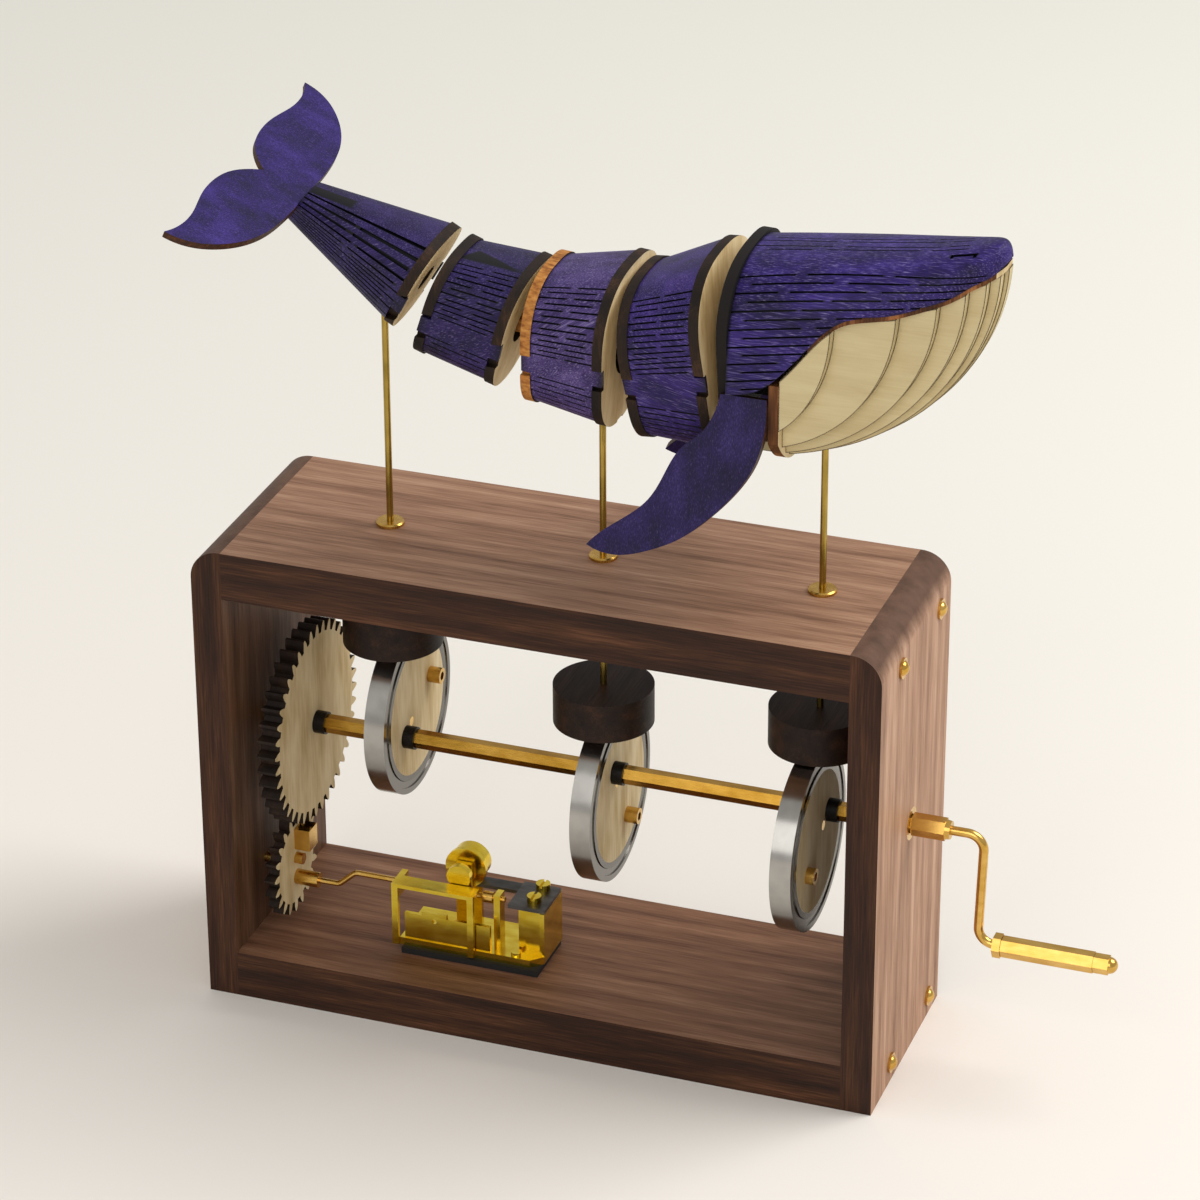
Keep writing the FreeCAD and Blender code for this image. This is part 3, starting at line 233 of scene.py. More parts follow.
# painted shade for the uprights' inner faces
walnut_shaded_inside = [(0.0, paint("#38241a")), (0.35, paint("#553926")), (0.65, paint("#664834")),
                (1.0, paint("#7d5c46"))]
dress(walnut("walnut_grain_across", "X", walnut_face, walnut_edge), "top_board")
dress(walnut("walnut_grain_floor_painted_shade", "X", walnut_shaded_floor, walnut_edge), "bottom_board")
dress(walnut("walnut_grain_upright_painted_light_and_shade", "Z", walnut_lit_side, walnut_edge, walnut_shaded_inside, walnut_end),
      "left_side_board", "right_side_board")

# ---- brass fittings --------------------------------------------------------------
# Turned and drawn brass: screws, bushings, push rods, ball joints, the hexagonal
# bar, and the bent crank with its six-sided grip; polished, then slightly handled.
def polished_metal(name, colour, dull, fine, along="X", length=8.0):
    """Bright metal with drawn lines fine mm wide; the lines vary its gloss."""
    material, shader = finish_named(name, Metallic=1.0, Roughness=dull)
    lines = streaks(material, along, fine, length, 2.0)
    cloud = streaks(material, along, 4.0, 9.0, 2.0, seed=5.0)
    tone = add(material, "ValToRGB", {"stops": [(0.3, paint(colour[0])), (0.7, paint(colour[1]))]},
               {"Fac": cloud}).outputs["Color"]
    material.node_tree.links.new(tone, shader.inputs["Base Color"])
    gloss = add(material, "MapRange",
                {"From Min": 0.3, "From Max": 0.7, "To Min": dull * 0.75, "To Max": dull * 1.35},
                {"Value": lines}).outputs[0]
    material.node_tree.links.new(gloss, shader.inputs["Roughness"])
    bumped(material, shader, lines, 0.01)
    return material


brass_lengthways = polished_metal("drawn_brass", ("#c79b45", "#e0b868"), 0.2, 0.12, "X")
dress(polished_metal("drawn_brass_bar", ("#a07628", "#bd9240"), 0.22, 0.12, "X"), "camshaft_bar")
dress(brass_lengthways, "crank_hub", "crank_arm", "handle_sleeve", "handle_nuts", "crank_wire",
      "frame_screws", "shaft_bushes", "cam_clamp_screws", "cam_dowel_tail", "cam_dowel_middle",
      "cam_dowel_head")
dress(polished_metal("drawn_brass_rod", ("#8f7a35", "#b59a4e"), 0.26, 0.12, "Z"), "push_rod_tail",
      "push_rod_middle", "push_rod_head")
brass_upright = polished_metal("drawn_brass_upright", ("#b98f3c", "#d9b160"), 0.24, 0.12, "Z")
dress(brass_upright, "rod_bushings", "rod_ball_tail", "rod_ball_middle", "rod_ball_head",
      "ball_socket_tail", "ball_socket_middle", "ball_socket_head", "spine_ball_neck", "spine_ball_rear")

# ---- cams and bearings -----------------------------------------------------------
# Each cam is a laser-cut plywood disc in a thin ball bearing of ground steel.
# The races are bright, the recessed shields darker, and black collars lock the bar.
def ground_steel(name, colours, dull):
    """Ground steel: soft 4 mm bands between two colours round the rims. Faces that look along X,
    which are the races' sides and the shields, take the third, darker colour."""
    material, shader = finish_named(name, Metallic=1.0, Roughness=dull)
    side = facing(material, "X", 0.7)
    lines = streaks(material, "Y", 4.0, 40.0, 1.0)
    tone = add(material, "ValToRGB", {"stops": [(0.3, paint(colours[0])), (0.7, paint(colours[1]))]},
               {"Fac": lines}).outputs["Color"]
    colour = add(material, "MixRGB", {"Color2": paint(colours[2])},
                 {"Fac": side, "Color1": tone}).outputs["Color"]
    material.node_tree.links.new(colour, shader.inputs["Base Color"])
    gloss = add(material, "MapRange", {"To Min": dull * 0.9, "To Max": dull * 1.15},
                {"Value": lines}).outputs[0]
    material.node_tree.links.new(gloss, shader.inputs["Roughness"])
    return material


dress(ground_steel("ground_bearing_steel", ("#a5a39e", "#aeaca7", "#716e69"), 0.2),
      "cam_ring_tail", "cam_ring_middle", "cam_ring_head")
dress(ground_steel("ground_race_steel", ("#85817b", "#9b978f", "#625f5a"), 0.24),
      "cam_inner_races", "cam_balls")


def plywood(name, face_stops, edge_stops, face_axis, least=0.7, along="Z", seed=0.0, middle=None):
    """Birch plywood: pale faces with 0.5 mm wide, 14 mm long grain, and edges burnt by the laser.
    Faces that look at x = middle mm take the edge colour as painted shade."""
    material, shader = finish_named(name, Roughness=0.7, Specular_IOR_Level=0.25)
    fibres = streaks(material, along, 0.5, 14.0, 3.0, seed=seed)
    cloud = streaks(material, along, 7.0, 25.0, 2.0, seed=seed + 4)
    tone = add(material, "Math", {"operation": "MULTIPLY_ADD", 1: 0.6}, {0: fibres, 2: cloud}).outputs[0]
    tone = add(material, "MapRange", {"From Min": 0.55, "From Max": 1.05}, {"Value": tone}).outputs[0]
    face = add(material, "ValToRGB", {"stops": face_stops}, {"Fac": tone}).outputs["Color"]
    edge = add(material, "ValToRGB", {"stops": edge_stops}, {"Fac": tone}).outputs["Color"]
    front = facing(material, face_axis, least)
    # painted shade: faces that look into the body take the edge colour
    if middle is not None:
        shaded_inside = looking_at(material, middle)
        front = add(material, "Math", {"operation": "SUBTRACT", "use_clamp": True},
                    {0: front, 1: shaded_inside}).outputs[0]
    colour = add(material, "MixRGB", links={"Fac": front, "Color1": edge, "Color2": face}).outputs["Color"]
    material.node_tree.links.new(colour, shader.inputs["Base Color"])
    bumped(material, shader, fibres, 0.06)
    return material


birch_face = [(0.0, paint("#bfa676")), (0.5, paint("#d8c49a")), (1.0, paint("#e8d9b4"))]
burnt_edge = [(0.0, paint("#120c08")), (0.6, paint("#24170e")), (1.0, paint("#3c2818"))]
dress(plywood("birch_plywood_discs", birch_face, burnt_edge, "X"), "cam_cores", "drive_gear", "pinion_gear")

black_oxide, black_oxide_shader = finish_named("blackened_steel", Metallic=0.8, Roughness=0.42)
speckle = streaks(black_oxide, "X", 0.4, 0.6, 2.0)
black_tone = add(black_oxide, "ValToRGB", {"stops": [(0.3, paint("#141312")), (0.8, paint("#2c2a28"))]},
                 {"Fac": speckle}).outputs["Color"]
black_oxide.node_tree.links.new(black_tone, black_oxide_shader.inputs["Base Color"])
bumped(black_oxide, black_oxide_shader, speckle, 0.03)
dress(black_oxide, "shaft_collars")

# ---- followers -------------------------------------------------------------------
# Turned walnut discs, stained almost black, that ride on the bearings.
stain = [(0.0, paint("#110804")), (0.5, paint("#20120a")), (1.0, paint("#372115"))]
dress(walnut("stained_walnut", "Y", stain, stain), "follower_tail", "follower_middle", "follower_head")

# ---- music movement --------------------------------------------------------------
# A small hand-cranked comb movement: gilt cast bed, bridge, drum and screws, a grey steel
# comb, on a black rubber pad; its crank wire comes from the pinion.
gilt = polished_metal("gilt_casting", ("#dab72c", "#efd653"), 0.2, 3.0, "X", 9.0)
dress(gilt, "movement_bedplate", "movement_bridge", "pin_drum", "movement_screws")
comb_steel = polished_metal("grey_comb_steel", ("#4e4c4b", "#6a6866"), 0.38, 0.2, "X")
dress(comb_steel, "movement_comb")
rubber, rubber_shader = finish_named("black_rubber", Roughness=0.8)
crumb = streaks(rubber, "X", 0.5, 0.5, 2.0)
rubber_tone = add(rubber, "ValToRGB", {"stops": [(0.3, paint("#0e0d0c")), (0.8, paint("#1d1b19"))]},
                  {"Fac": crumb}).outputs["Color"]
rubber.node_tree.links.new(rubber_tone, rubber_shader.inputs["Base Color"])
bumped(rubber, rubber_shader, crumb, 0.08)
dress(rubber, "movement_pad")
dress(brass_lengthways, "pinion_coupling")

# ---- whale: bulkheads ------------------------------------------------------------
# A body segment ends in 3 mm plywood bulkheads with a round window, burnt black at
# the edge by the laser; their outer faces are bare, their inner ones painted dark as painted shade.
# The bulkheads lean, so a face counts from this share of X in its normal.
bulkhead_least = 0.75
segment_middles = {"neck": 35.8, "rear": -25.9, "tail": -60.0}
for segment, middle in segment_middles.items():
    dress(plywood("bulkhead_plywood_" + segment, birch_face, burnt_edge, "X", bulkhead_least,
                  middle=middle), segment + "_bulkheads")


def toasted(name, limit, middle):
    """Bulkhead plywood whose edges behind x = limit mm are scorched orange, and black before it."""
    material = plywood(name, birch_face, burnt_edge, "X", bulkhead_least, middle=middle)
    shader = material.node_tree.nodes["Principled BSDF"]
    usual = shader.inputs["Base Color"].links[0].from_socket
    place = add(material, "TexCoord").outputs["Object"]
    along = add(material, "SeparateXYZ", links={0: place}).outputs["X"]
    behind = add(material, "Math", {"operation": "LESS_THAN", 1: limit * mm}, {0: along}).outputs[0]
    face = facing(material, "X", bulkhead_least)
    edge = add(material, "Math", {"operation": "SUBTRACT", 0: 1.0}, {1: face}).outputs[0]
    here = add(material, "Math", {"operation": "MULTIPLY"}, {0: behind, 1: edge}).outputs[0]
    scorch = streaks(material, "X", 1.5, 3.0, 3.0, seed=8.0)
    amber = add(material, "ValToRGB", {"stops": [(0.3, paint("#7a4418")), (0.55, paint("#b5793a")),
                                                 (0.8, paint("#d09a55"))]}, {"Fac": scorch}).outputs["Color"]
    colour = add(material, "MixRGB", links={"Fac": here, "Color1": usual, "Color2": amber}).outputs["Color"]
    material.node_tree.links.new(colour, shader.inputs["Base Color"])
    return material


dress(toasted("scorched_bulkhead_plywood", -2.0, 5.1), "middle_bulkheads")


# ---- whale: stained skins --------------------------------------------------------
# The skins are 1.5 mm plywood stained violet, sawn through by rows of laser kerfs so
# that they bend; they are wrapped round the bulkheads and tabbed into their edges.
# each palette's fourth colour paints the flecks' sheen: a painted highlight
violet = ("#1b1040", "#2f1f63", "#432f7f", "#a79cce")
deep_violet = ("#170d3a", "#291960", "#3c297e", "#aca1d6")
dark_violet = ("#140b31", "#23174c", "#342662", "#8e84ae")
pale_violet = ("#261944", "#43336c", "#5e4e88", "#c2b6d8")
# the share of the sheet that a kerf cuts through, how many mm of stain beside it char, and how
# much the laser chars a skin's inner face and its ends
groove_share = 0.8
char_width = 0.16
inner_char = 0.6
end_char = 0.75


def stained_ply(name, turn_by, seed, stains=violet, along="X", sheen_strength=0.5):
    """Violet stain on birch: 8 mm blotches and 0.22 mm flecks, the pale ones a painted sheen; darkened by the
    attribute for laser char and painted shadow.
    """
    material, shader = finish_named(name, Roughness=0.5, Specular_IOR_Level=0.22)
    blotch = streaks(material, along, 8.0, 16.0, 3.0, turn_by, seed)
    flecks = streaks(material, along, 0.22, 6.5, 2.0, turn_by, seed + 2)
    tone = add(material, "ValToRGB", {"stops": [(0.28, paint(stains[0])), (0.5, paint(stains[1])),
                                                (0.72, paint(stains[2]))]}, {"Fac": blotch}).outputs["Color"]
    # painted sheen: pale flecks mixed into the stain
    painted_sheen = add(material, "MapRange", {"From Min": 0.56, "From Max": 0.76, "To Max": sheen_strength},
                {"Value": flecks}).outputs[0]
    pale = add(material, "MixRGB", {"Color2": paint(stains[3])},
               {"Fac": painted_sheen, "Color1": tone}).outputs["Color"]
    dark = add(material, "MapRange", {"From Min": 0.5, "From Max": 0.32, "To Max": 0.75},
               {"Value": flecks}).outputs[0]
    deep = add(material, "MixRGB", {"Color2": paint("#0f0a24")},
               {"Fac": dark, "Color1": pale}).outputs["Color"]
    # the attribute holds the laser char and, on the rear and tail skins, a painted shadow
    burn = add(material, "Attribute", {"attribute_name": "burn"}).outputs["Fac"]
    colour = add(material, "MixRGB", {"Color2": paint("#0c0a10")},
                 {"Fac": burn, "Color1": deep}).outputs["Color"]
    material.node_tree.links.new(colour, shader.inputs["Base Color"])
    bumped(material, shader, flecks, 0.05)
    return material


def borders(quads, others):
    """The quads' own edges as (start, end): those met by no quad of the same set, split into
    the ones that the other set's quads meet and the ones that nothing meets."""
    start, end = quads.ravel(), np.roll(quads, -1, axis=1).ravel()
    count = 1 + max(quads.max(), others.max() if len(others) else 0)
    across = end * count + start
    lone = ~np.isin(across, start * count + end)
    other_start, other_end = others.ravel(), np.roll(others, -1, axis=1).ravel()
    shared = np.isin(across, other_start * count + other_end)
    return (start[lone & shared], end[lone & shared]), (start[lone & ~shared], end[lone & ~shared])


def shell(name, outer, inner, keep, groove, burn, wrap, body, replaced, material):
    """A closed sheet: an outer grid with charred grooves four fifths deep, and an inner grid."""
    rows, columns = outer.shape[:2]
    index = np.arange(rows * columns).reshape(rows, columns)
    first, after = (index, np.roll(index, -1, axis=0)) if wrap else (index[:-1], index[1:])
    cells = np.stack([first[:, :-1], first[:, 1:], after[:, 1:], after[:, :-1]], axis=-1)
    count = rows * columns
    top, cut = cells[keep & ~groove], cells[keep & groove]
    below, under = count, 2 * count
    (wall_start, wall_end), (rim_start, rim_end) = borders(top, cut)
    faces = [top, cut + under, top[:, ::-1] + below, cut[:, ::-1] + below,
             np.stack([rim_end, rim_start, rim_start + below, rim_end + below], axis=-1)]
    if len(cut):
        faces.append(np.stack([wall_end, wall_start, wall_start + under, wall_end + under], axis=-1))
        end_start, end_end = borders(cut, top)[1]
        faces.append(np.stack([end_end + under, end_start + under, end_start + below, end_end + below],
                              axis=-1))
    used, faces = np.unique(np.concatenate(faces), return_inverse=True)
    layers = [outer, inner, outer + groove_share * (inner - outer)]
    points = np.concatenate([layer.reshape(-1, 3) for layer in layers])[used] * mm
    mesh = bpy.data.meshes.new(name)
    mesh.from_pydata(points.tolist(), [], faces.reshape(-1, 4).tolist())
    charred = np.concatenate([burn.ravel(), np.maximum(burn.ravel(), inner_char), np.ones(count)])[used]
    mesh.attributes.new("burn", "FLOAT", "POINT").data.foreach_set("value", charred)
    work = bmesh.new()
    work.from_mesh(mesh)
    bmesh.ops.remove_doubles(work, verts=work.verts, dist=0.001 * mm)
    bmesh.ops.recalc_face_normals(work, faces=work.faces)
    work.to_mesh(mesh)
    work.free()
    mesh.shade_smooth()
    mesh.set_sharp_from_angle(angle=math.radians(32))
    mesh.materials.append(material)
    piece = bpy.data.objects.new(name, mesh)
    bpy.context.scene.collection.objects.link(piece)
    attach(piece, body)
    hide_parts(replaced)


# outer faces of the bulkheads: x, height of the middle, lean, size, upper and lower share
bulkheads = {
    "tail_back": (-80.5, 249.0, 38.0, 7.0, 1.0, 1.0),
    "tail_front": (-43.1, 230.2, 29.8, 16.0, 1.05, 1.0),
    "rear_back": (-38.1, 226.8, 20.7, 17.6, 1.0, 1.0),
    "rear_front": (-13.6, 221.0, 17.9, 19.2, 1.03, 1.0),
    "middle_back": (-7.7, 220.3, 5.6, 20.4, 1.08, 1.0),
    "middle_front": (17.9, 220.0, 5.7, 24.1, 1.05, 1.0),
    "neck_back": (23.7, 219.2, -5.0, 24.6, 1.0, 1.0),
    "neck_front": (47.8, 227.0, -3.7, 26.0, 1.0, 1.27),
}
ply = 3.0
skin = 1.5
skin_reveal = 0.5
tab_height = 6.3
tab_drops = {"tail_front": 1.6, "rear_back": 1.7, "rear_front": 1.5, "middle_back": 1.7,
             "middle_front": 1.5, "neck_back": 1.5, "neck_front": 4.8}
kerf = 0.36


def outline(place, angles, inset, along):
    """A bulkhead's rim: r = size (1 - .042 cos 2a + .064 sin 3a - .037 cos 4a + .011 sin 5a), with
    its upper and lower half stretched by their shares, laid in the plane that leans towards the
    nose and moved along its normal."""
    x, z, lean, size, crown, belly = place
    lean = math.radians(lean)
    r = (size - inset) * (1 - 0.042 * np.cos(2 * angles) + 0.064 * np.sin(3 * angles)
                          - 0.037 * np.cos(4 * angles) + 0.011 * np.sin(5 * angles))
    rise = r * np.sin(angles)
    rise = rise * np.where(rise > 0, crown, belly)
    return np.stack([x + along * math.cos(lean) + rise * math.sin(lean), r * np.cos(angles),
                     z - along * math.sin(lean) + rise * math.cos(lean)], axis=-1)


def wrapped(back_rim, front_rim, shares):
    """Straight lines from each point of one rim to the same point of the other."""
    return back_rim[:, None, :] + (front_rim - back_rim)[:, None, :] * shares[None, :, None]


def inside(corners, angles, shares, size, length):
    """How deep, in mm, each grid point lies inside a convex outline of (angle, share) corners."""
    across, along = np.meshgrid(np.radians(angles) * size, shares * length, indexing="ij")
    loop = [(math.radians(angle) * size, share * length) for angle, share in corners]
    depth = np.full(across.shape, 99.0)
    for (u0, v0), (u1, v1) in zip(loop, loop[1:] + loop[:1]):
        edge = math.hypot(u1 - u0, v1 - v0)
        depth = np.minimum(depth, ((across - u0) * (v1 - v0) - (along - v0) * (u1 - u0)) / edge)
    return depth


def body_skin(name, kerfs, slot_share, seed, lean_of_grain, settle=0.0, painted_shadow=None, stains=violet):
    """A segment's skin: kerfs are (angle in degrees, spans of the length, width), mirrored left to
    right, and slot_share is the belly's slot as (from, to, half width in degrees); settle mm is how
    far a row drops towards the nose, and the (angle, share) outline of a painted shadow, on one side, is
    drawn dark like the char."""
    back, front = bulkheads[name + "_back"], bulkheads[name + "_front"]
    size = (back[3] + front[3]) / 2
    length = front[0] - back[0]
    margin = math.degrees(char_width / size)
    rows = [(side, spans, math.degrees(width / 2 / size)) for angle, spans, width in kerfs
            for side in (angle, 180 - angle)]
    # an angle every 6 degrees, and every 1.5 where the painted shadow ends
    samples = [-90 + 6 * i for i in range(60)]
    samples += [90 + 1.5 * i for i in range(27)] if painted_shadow else []
    for angle, spans, half in rows:
        samples += [angle + k * half + j * margin for k, j in ((-1, -1), (-1, 0), (1, 0), (1, 1))]
    twist = settle / size
    tabs = {}
    for end in ("back", "front"):
        drop = tab_drops.get(name + "_" + end)
        if drop is not None:
            rim = bulkheads[name + "_" + end]
            low = rim[5] * rim[3]
            edges = (math.asin(-(drop + tab_height) / low), math.asin(-drop / rim[3]))
            turn = twist if end == "front" else 0.0
            tabs[end] = [math.degrees(edge + turn * math.cos(edge)) for edge in edges]
            samples += [a for tab in tabs[end] for a in (tab, 180 - tab)]
    samples += [-90 + slot_share[2], 270 - slot_share[2]] if slot_share else []
    angles = np.unique(np.round((np.array(samples) + 90) % 360 - 90, 5))
    step_back = 0.0 if name == "tail" else ply
    inner_length = length - step_back - ply
    shares = np.concatenate([[-step_back / inner_length] if step_back else [], np.linspace(0, 1, 49),
                             [1 + ply / inner_length]])
    turned = np.radians(angles)
    settled = turned - twist * np.cos(turned)
    outer = wrapped(outline(back, turned, skin_reveal, step_back), outline(front, settled, skin_reveal, -ply),
                    shares)
    inner = wrapped(outline(back, turned, skin_reveal + skin, step_back),
                    outline(front, settled, skin_reveal + skin, -ply), shares)
    middle_angle = (angles + np.append(angles[1:], angles[0] + 360)) / 2
    middle_share = (shares[1:] + shares[:-1]) / 2
    keep = np.ones((len(angles), len(shares) - 1), bool)
    groove = np.zeros(keep.shape, bool)
    burn = np.zeros((len(angles), len(shares)))
    folded = np.where(middle_angle > 90, 180 - middle_angle, middle_angle)
    for end, cells in (("back", middle_share < 0), ("front", middle_share > 1)):
        low, high = tabs.get(end, (0, 0))
        keep[np.ix_((folded < low) | (folded > high), cells)] = False
    burn[:, 0] = end_char
    burn[:, -1] = end_char
    for angle, spans, half in rows:
        here = np.abs(middle_angle - angle) < half
        rim = np.abs(angles - angle) < half + 0.001
        for low, high in spans:
            groove[np.ix_(here, (middle_share > low) & (middle_share < high))] = True
            burn[np.ix_(rim, (shares > low - 0.02) & (shares < high + 0.02))] = 1.0
    # painted shadow: the outline is darkened through the same values as the laser char
    if painted_shadow:
        depth = inside(painted_shadow, angles, shares, size, length)
        burn = np.maximum(burn, np.clip(0.5 + depth / 0.4, 0, 1))
    if slot_share:
        low, high, width = slot_share
        below = np.abs(folded + 90) < width
        keep[np.ix_(below, (middle_share > low) & (middle_share < high))] = False
    material = stained_ply("violet_ply_" + name, (0, math.radians(lean_of_grain), 0), seed, stains)
    shell(name + "_stained_skin", outer, inner, keep, groove, burn, True, "body_" + name, name + "_skin",
          material)


def kerf_rows(top, low, belly_top, belly_low, size, gap, inset):
    """Rows of dashes, two from the edges with a gap, then one between, by turns: 1.65 mm apart on the
    sides and a quarter more on the belly."""
    pitch = math.degrees(1.65 / size)
    belly_pitch = 1.25 * pitch
    upper = np.arange(top, low, -pitch)
    lower = np.arange(belly_top, belly_low, -belly_pitch)
    spans = ([(0.0, 0.5 - gap), (0.5 + gap, 1.0)], [(inset, 1 - inset)])
    return [(float(angle), spans[i % 2], kerf) for i, angle in enumerate([*upper, *lower])]


body_skin("middle",
          kerf_rows(top=53, low=-1.0, belly_top=-25, belly_low=-78, size=21.5, gap=0.08, inset=0.14),
          slot_share=(0.42, 0.86, 8.0), seed=1.0, lean_of_grain=35.0, stains=pale_violet)
body_skin("neck",
          kerf_rows(top=50, low=0.0, belly_top=-28, belly_low=-80, size=25.0, gap=0.05, inset=0.1),
          slot_share=None, seed=2.0, lean_of_grain=-14.0, settle=3.4)
# painted shadow on one side of the rear skin
body_skin("rear",
          kerf_rows(top=60, low=-1.0, belly_top=-28, belly_low=-78, size=18.0, gap=0.1, inset=0.12),
          slot_share=None, seed=3.0, lean_of_grain=20.0,
          painted_shadow=[(112.0, -0.04), (90.0, 0.16), (113.0, 1.0)], stains=dark_violet)
tail_slits = [(52.0, [(0.0, 1.0)], 0.8), (38.0, [(0.0, 0.46), (0.5, 1.0)], 0.75),
              (26.0, [(0.03, 0.42), (0.47, 0.97)], 0.75), (14.0, [(0.0, 0.5), (0.56, 1.0)], 0.6),
              (3.0, [(0.06, 0.44), (0.5, 0.94)], 0.45)]
tail_rows = kerf_rows(top=-6, low=-68.0, belly_top=-75, belly_low=-80, size=14.0, gap=0.06, inset=0.1)
# painted shadow on one side of the tail skin
body_skin("tail", tail_slits + tail_rows, slot_share=(0.55, 0.93, 11.0), seed=4.0, lean_of_grain=28.0,
          painted_shadow=[(124.0, 0.0), (92.0, 0.0), (92.0, 0.35), (118.0, 0.35)], stains=dark_violet)

# ---- whale: flukes and fins ------------------------------------------------------
# The tail fin and the two flippers are flat 3 mm plywood, stained on both faces;
# the laser has left their edges brown.
scorched_edge = [(0.0, paint("#1a0f0a")), (0.5, paint("#3a2112")), (0.85, paint("#6d4018")),
                 (1.0, paint("#9a602a"))]
# how much painted sheen the plates' flecks get
plate_sheen_strength = 0.18


def stained_plate(name, axis, least, along, seed, stains):
    """Violet stain with dark 0.45 mm veins on the faces, scorched plies along the edge."""
    material = stained_ply(name, (0, 0, 0), seed, stains, along, plate_sheen_strength)
    shader = material.node_tree.nodes["Principled BSDF"]
    stain_colour = shader.inputs["Base Color"].links[0].from_socket
    grain = streaks(material, along, 0.45, 15.0, 3.0, seed=seed + 1)
    veins = add(material, "MapRange", {"From Min": 0.45, "From Max": 0.32, "To Max": 0.65},
                {"Value": grain}).outputs[0]
    face = add(material, "MixRGB", {"Color2": paint("#100a26")},
               {"Fac": veins, "Color1": stain_colour}).outputs["Color"]
    scorch = streaks(material, along, 1.0, 2.0, 3.0, seed=seed + 6)
    edge = add(material, "ValToRGB", {"stops": scorched_edge}, {"Fac": scorch}).outputs["Color"]
    colour = add(material, "MixRGB", links={"Fac": facing(material, axis, least), "Color1": edge,
                                            "Color2": face}).outputs["Color"]
    material.node_tree.links.new(colour, shader.inputs["Base Color"])
    return material


dress(stained_plate("violet_fluke_ply", "Z", 0.75, "X", 5.0, deep_violet), "tail_flukes")
dress(stained_plate("violet_fin_ply", "Y", 0.8, "Z", 6.0, dark_violet), "pectoral_fins")

# ---- whale: head skin ------------------------------------------------------------
# One kerfed sheet bent over the head, from the back bulkhead to the nose; its lower
# edge follows the mouth, and its rows of kerfs climb a little towards the nose.
head_back = (52.2, 230.0, 2.0, 26.6)
head_start = 58.0
head_length = 70.5
head_half_width = 24.5
nose_height = 263.2
nose_lift = 3.0
nose_droop = 5.0
nose_side_height = 256.0
arch_power = 0.8
mouth_x = np.array([50.0, 67.3, 75.0, 82.6, 87.1, 93.9, 100.9, 109.1, 115.4, 120.7, 125.1, 131.0])
mouth_z = np.array([217.5, 223.3, 231.8, 240.9, 244.2, 245.9, 247.1, 249.7, 252.0, 255.2, 257.2, 262.8])


def smooth_line(x, knots, values):
    """A cubic through the knots whose slope at each is that of its two neighbours."""
    slope = np.gradient(values, knots)
    i = np.clip(np.searchsorted(knots, x) - 1, 0, len(knots) - 2)
    span = knots[i + 1] - knots[i]
    t = np.clip((x - knots[i]) / span, 0, 1)
    return (values[i] * (1 + 2 * t) * (1 - t) ** 2 + slope[i] * span * t * (1 - t) ** 2
            + values[i + 1] * t * t * (3 - 2 * t) - slope[i + 1] * span * t * t * (1 - t))


def head_arch(x):
    """Half width, spring height and crown height of the head at x."""
    x0 = head_back[0]
    t = np.clip((x - x0) / (head_start + head_length - x0), 0, 1)
    plan = np.clip((x - head_start) / head_length, 0, 1)
    side = np.maximum(head_half_width * np.sqrt(1 - plan ** 2), 0.4)
    crown = head_back[1] + 0.95 * head_back[3] - 2 * skin_reveal
    top = crown + (nose_height - crown) * t + nose_lift * t ** 6 - nose_droop * t ** 60
    return side, head_back[1] + (nose_side_height - head_back[1]) * t, top


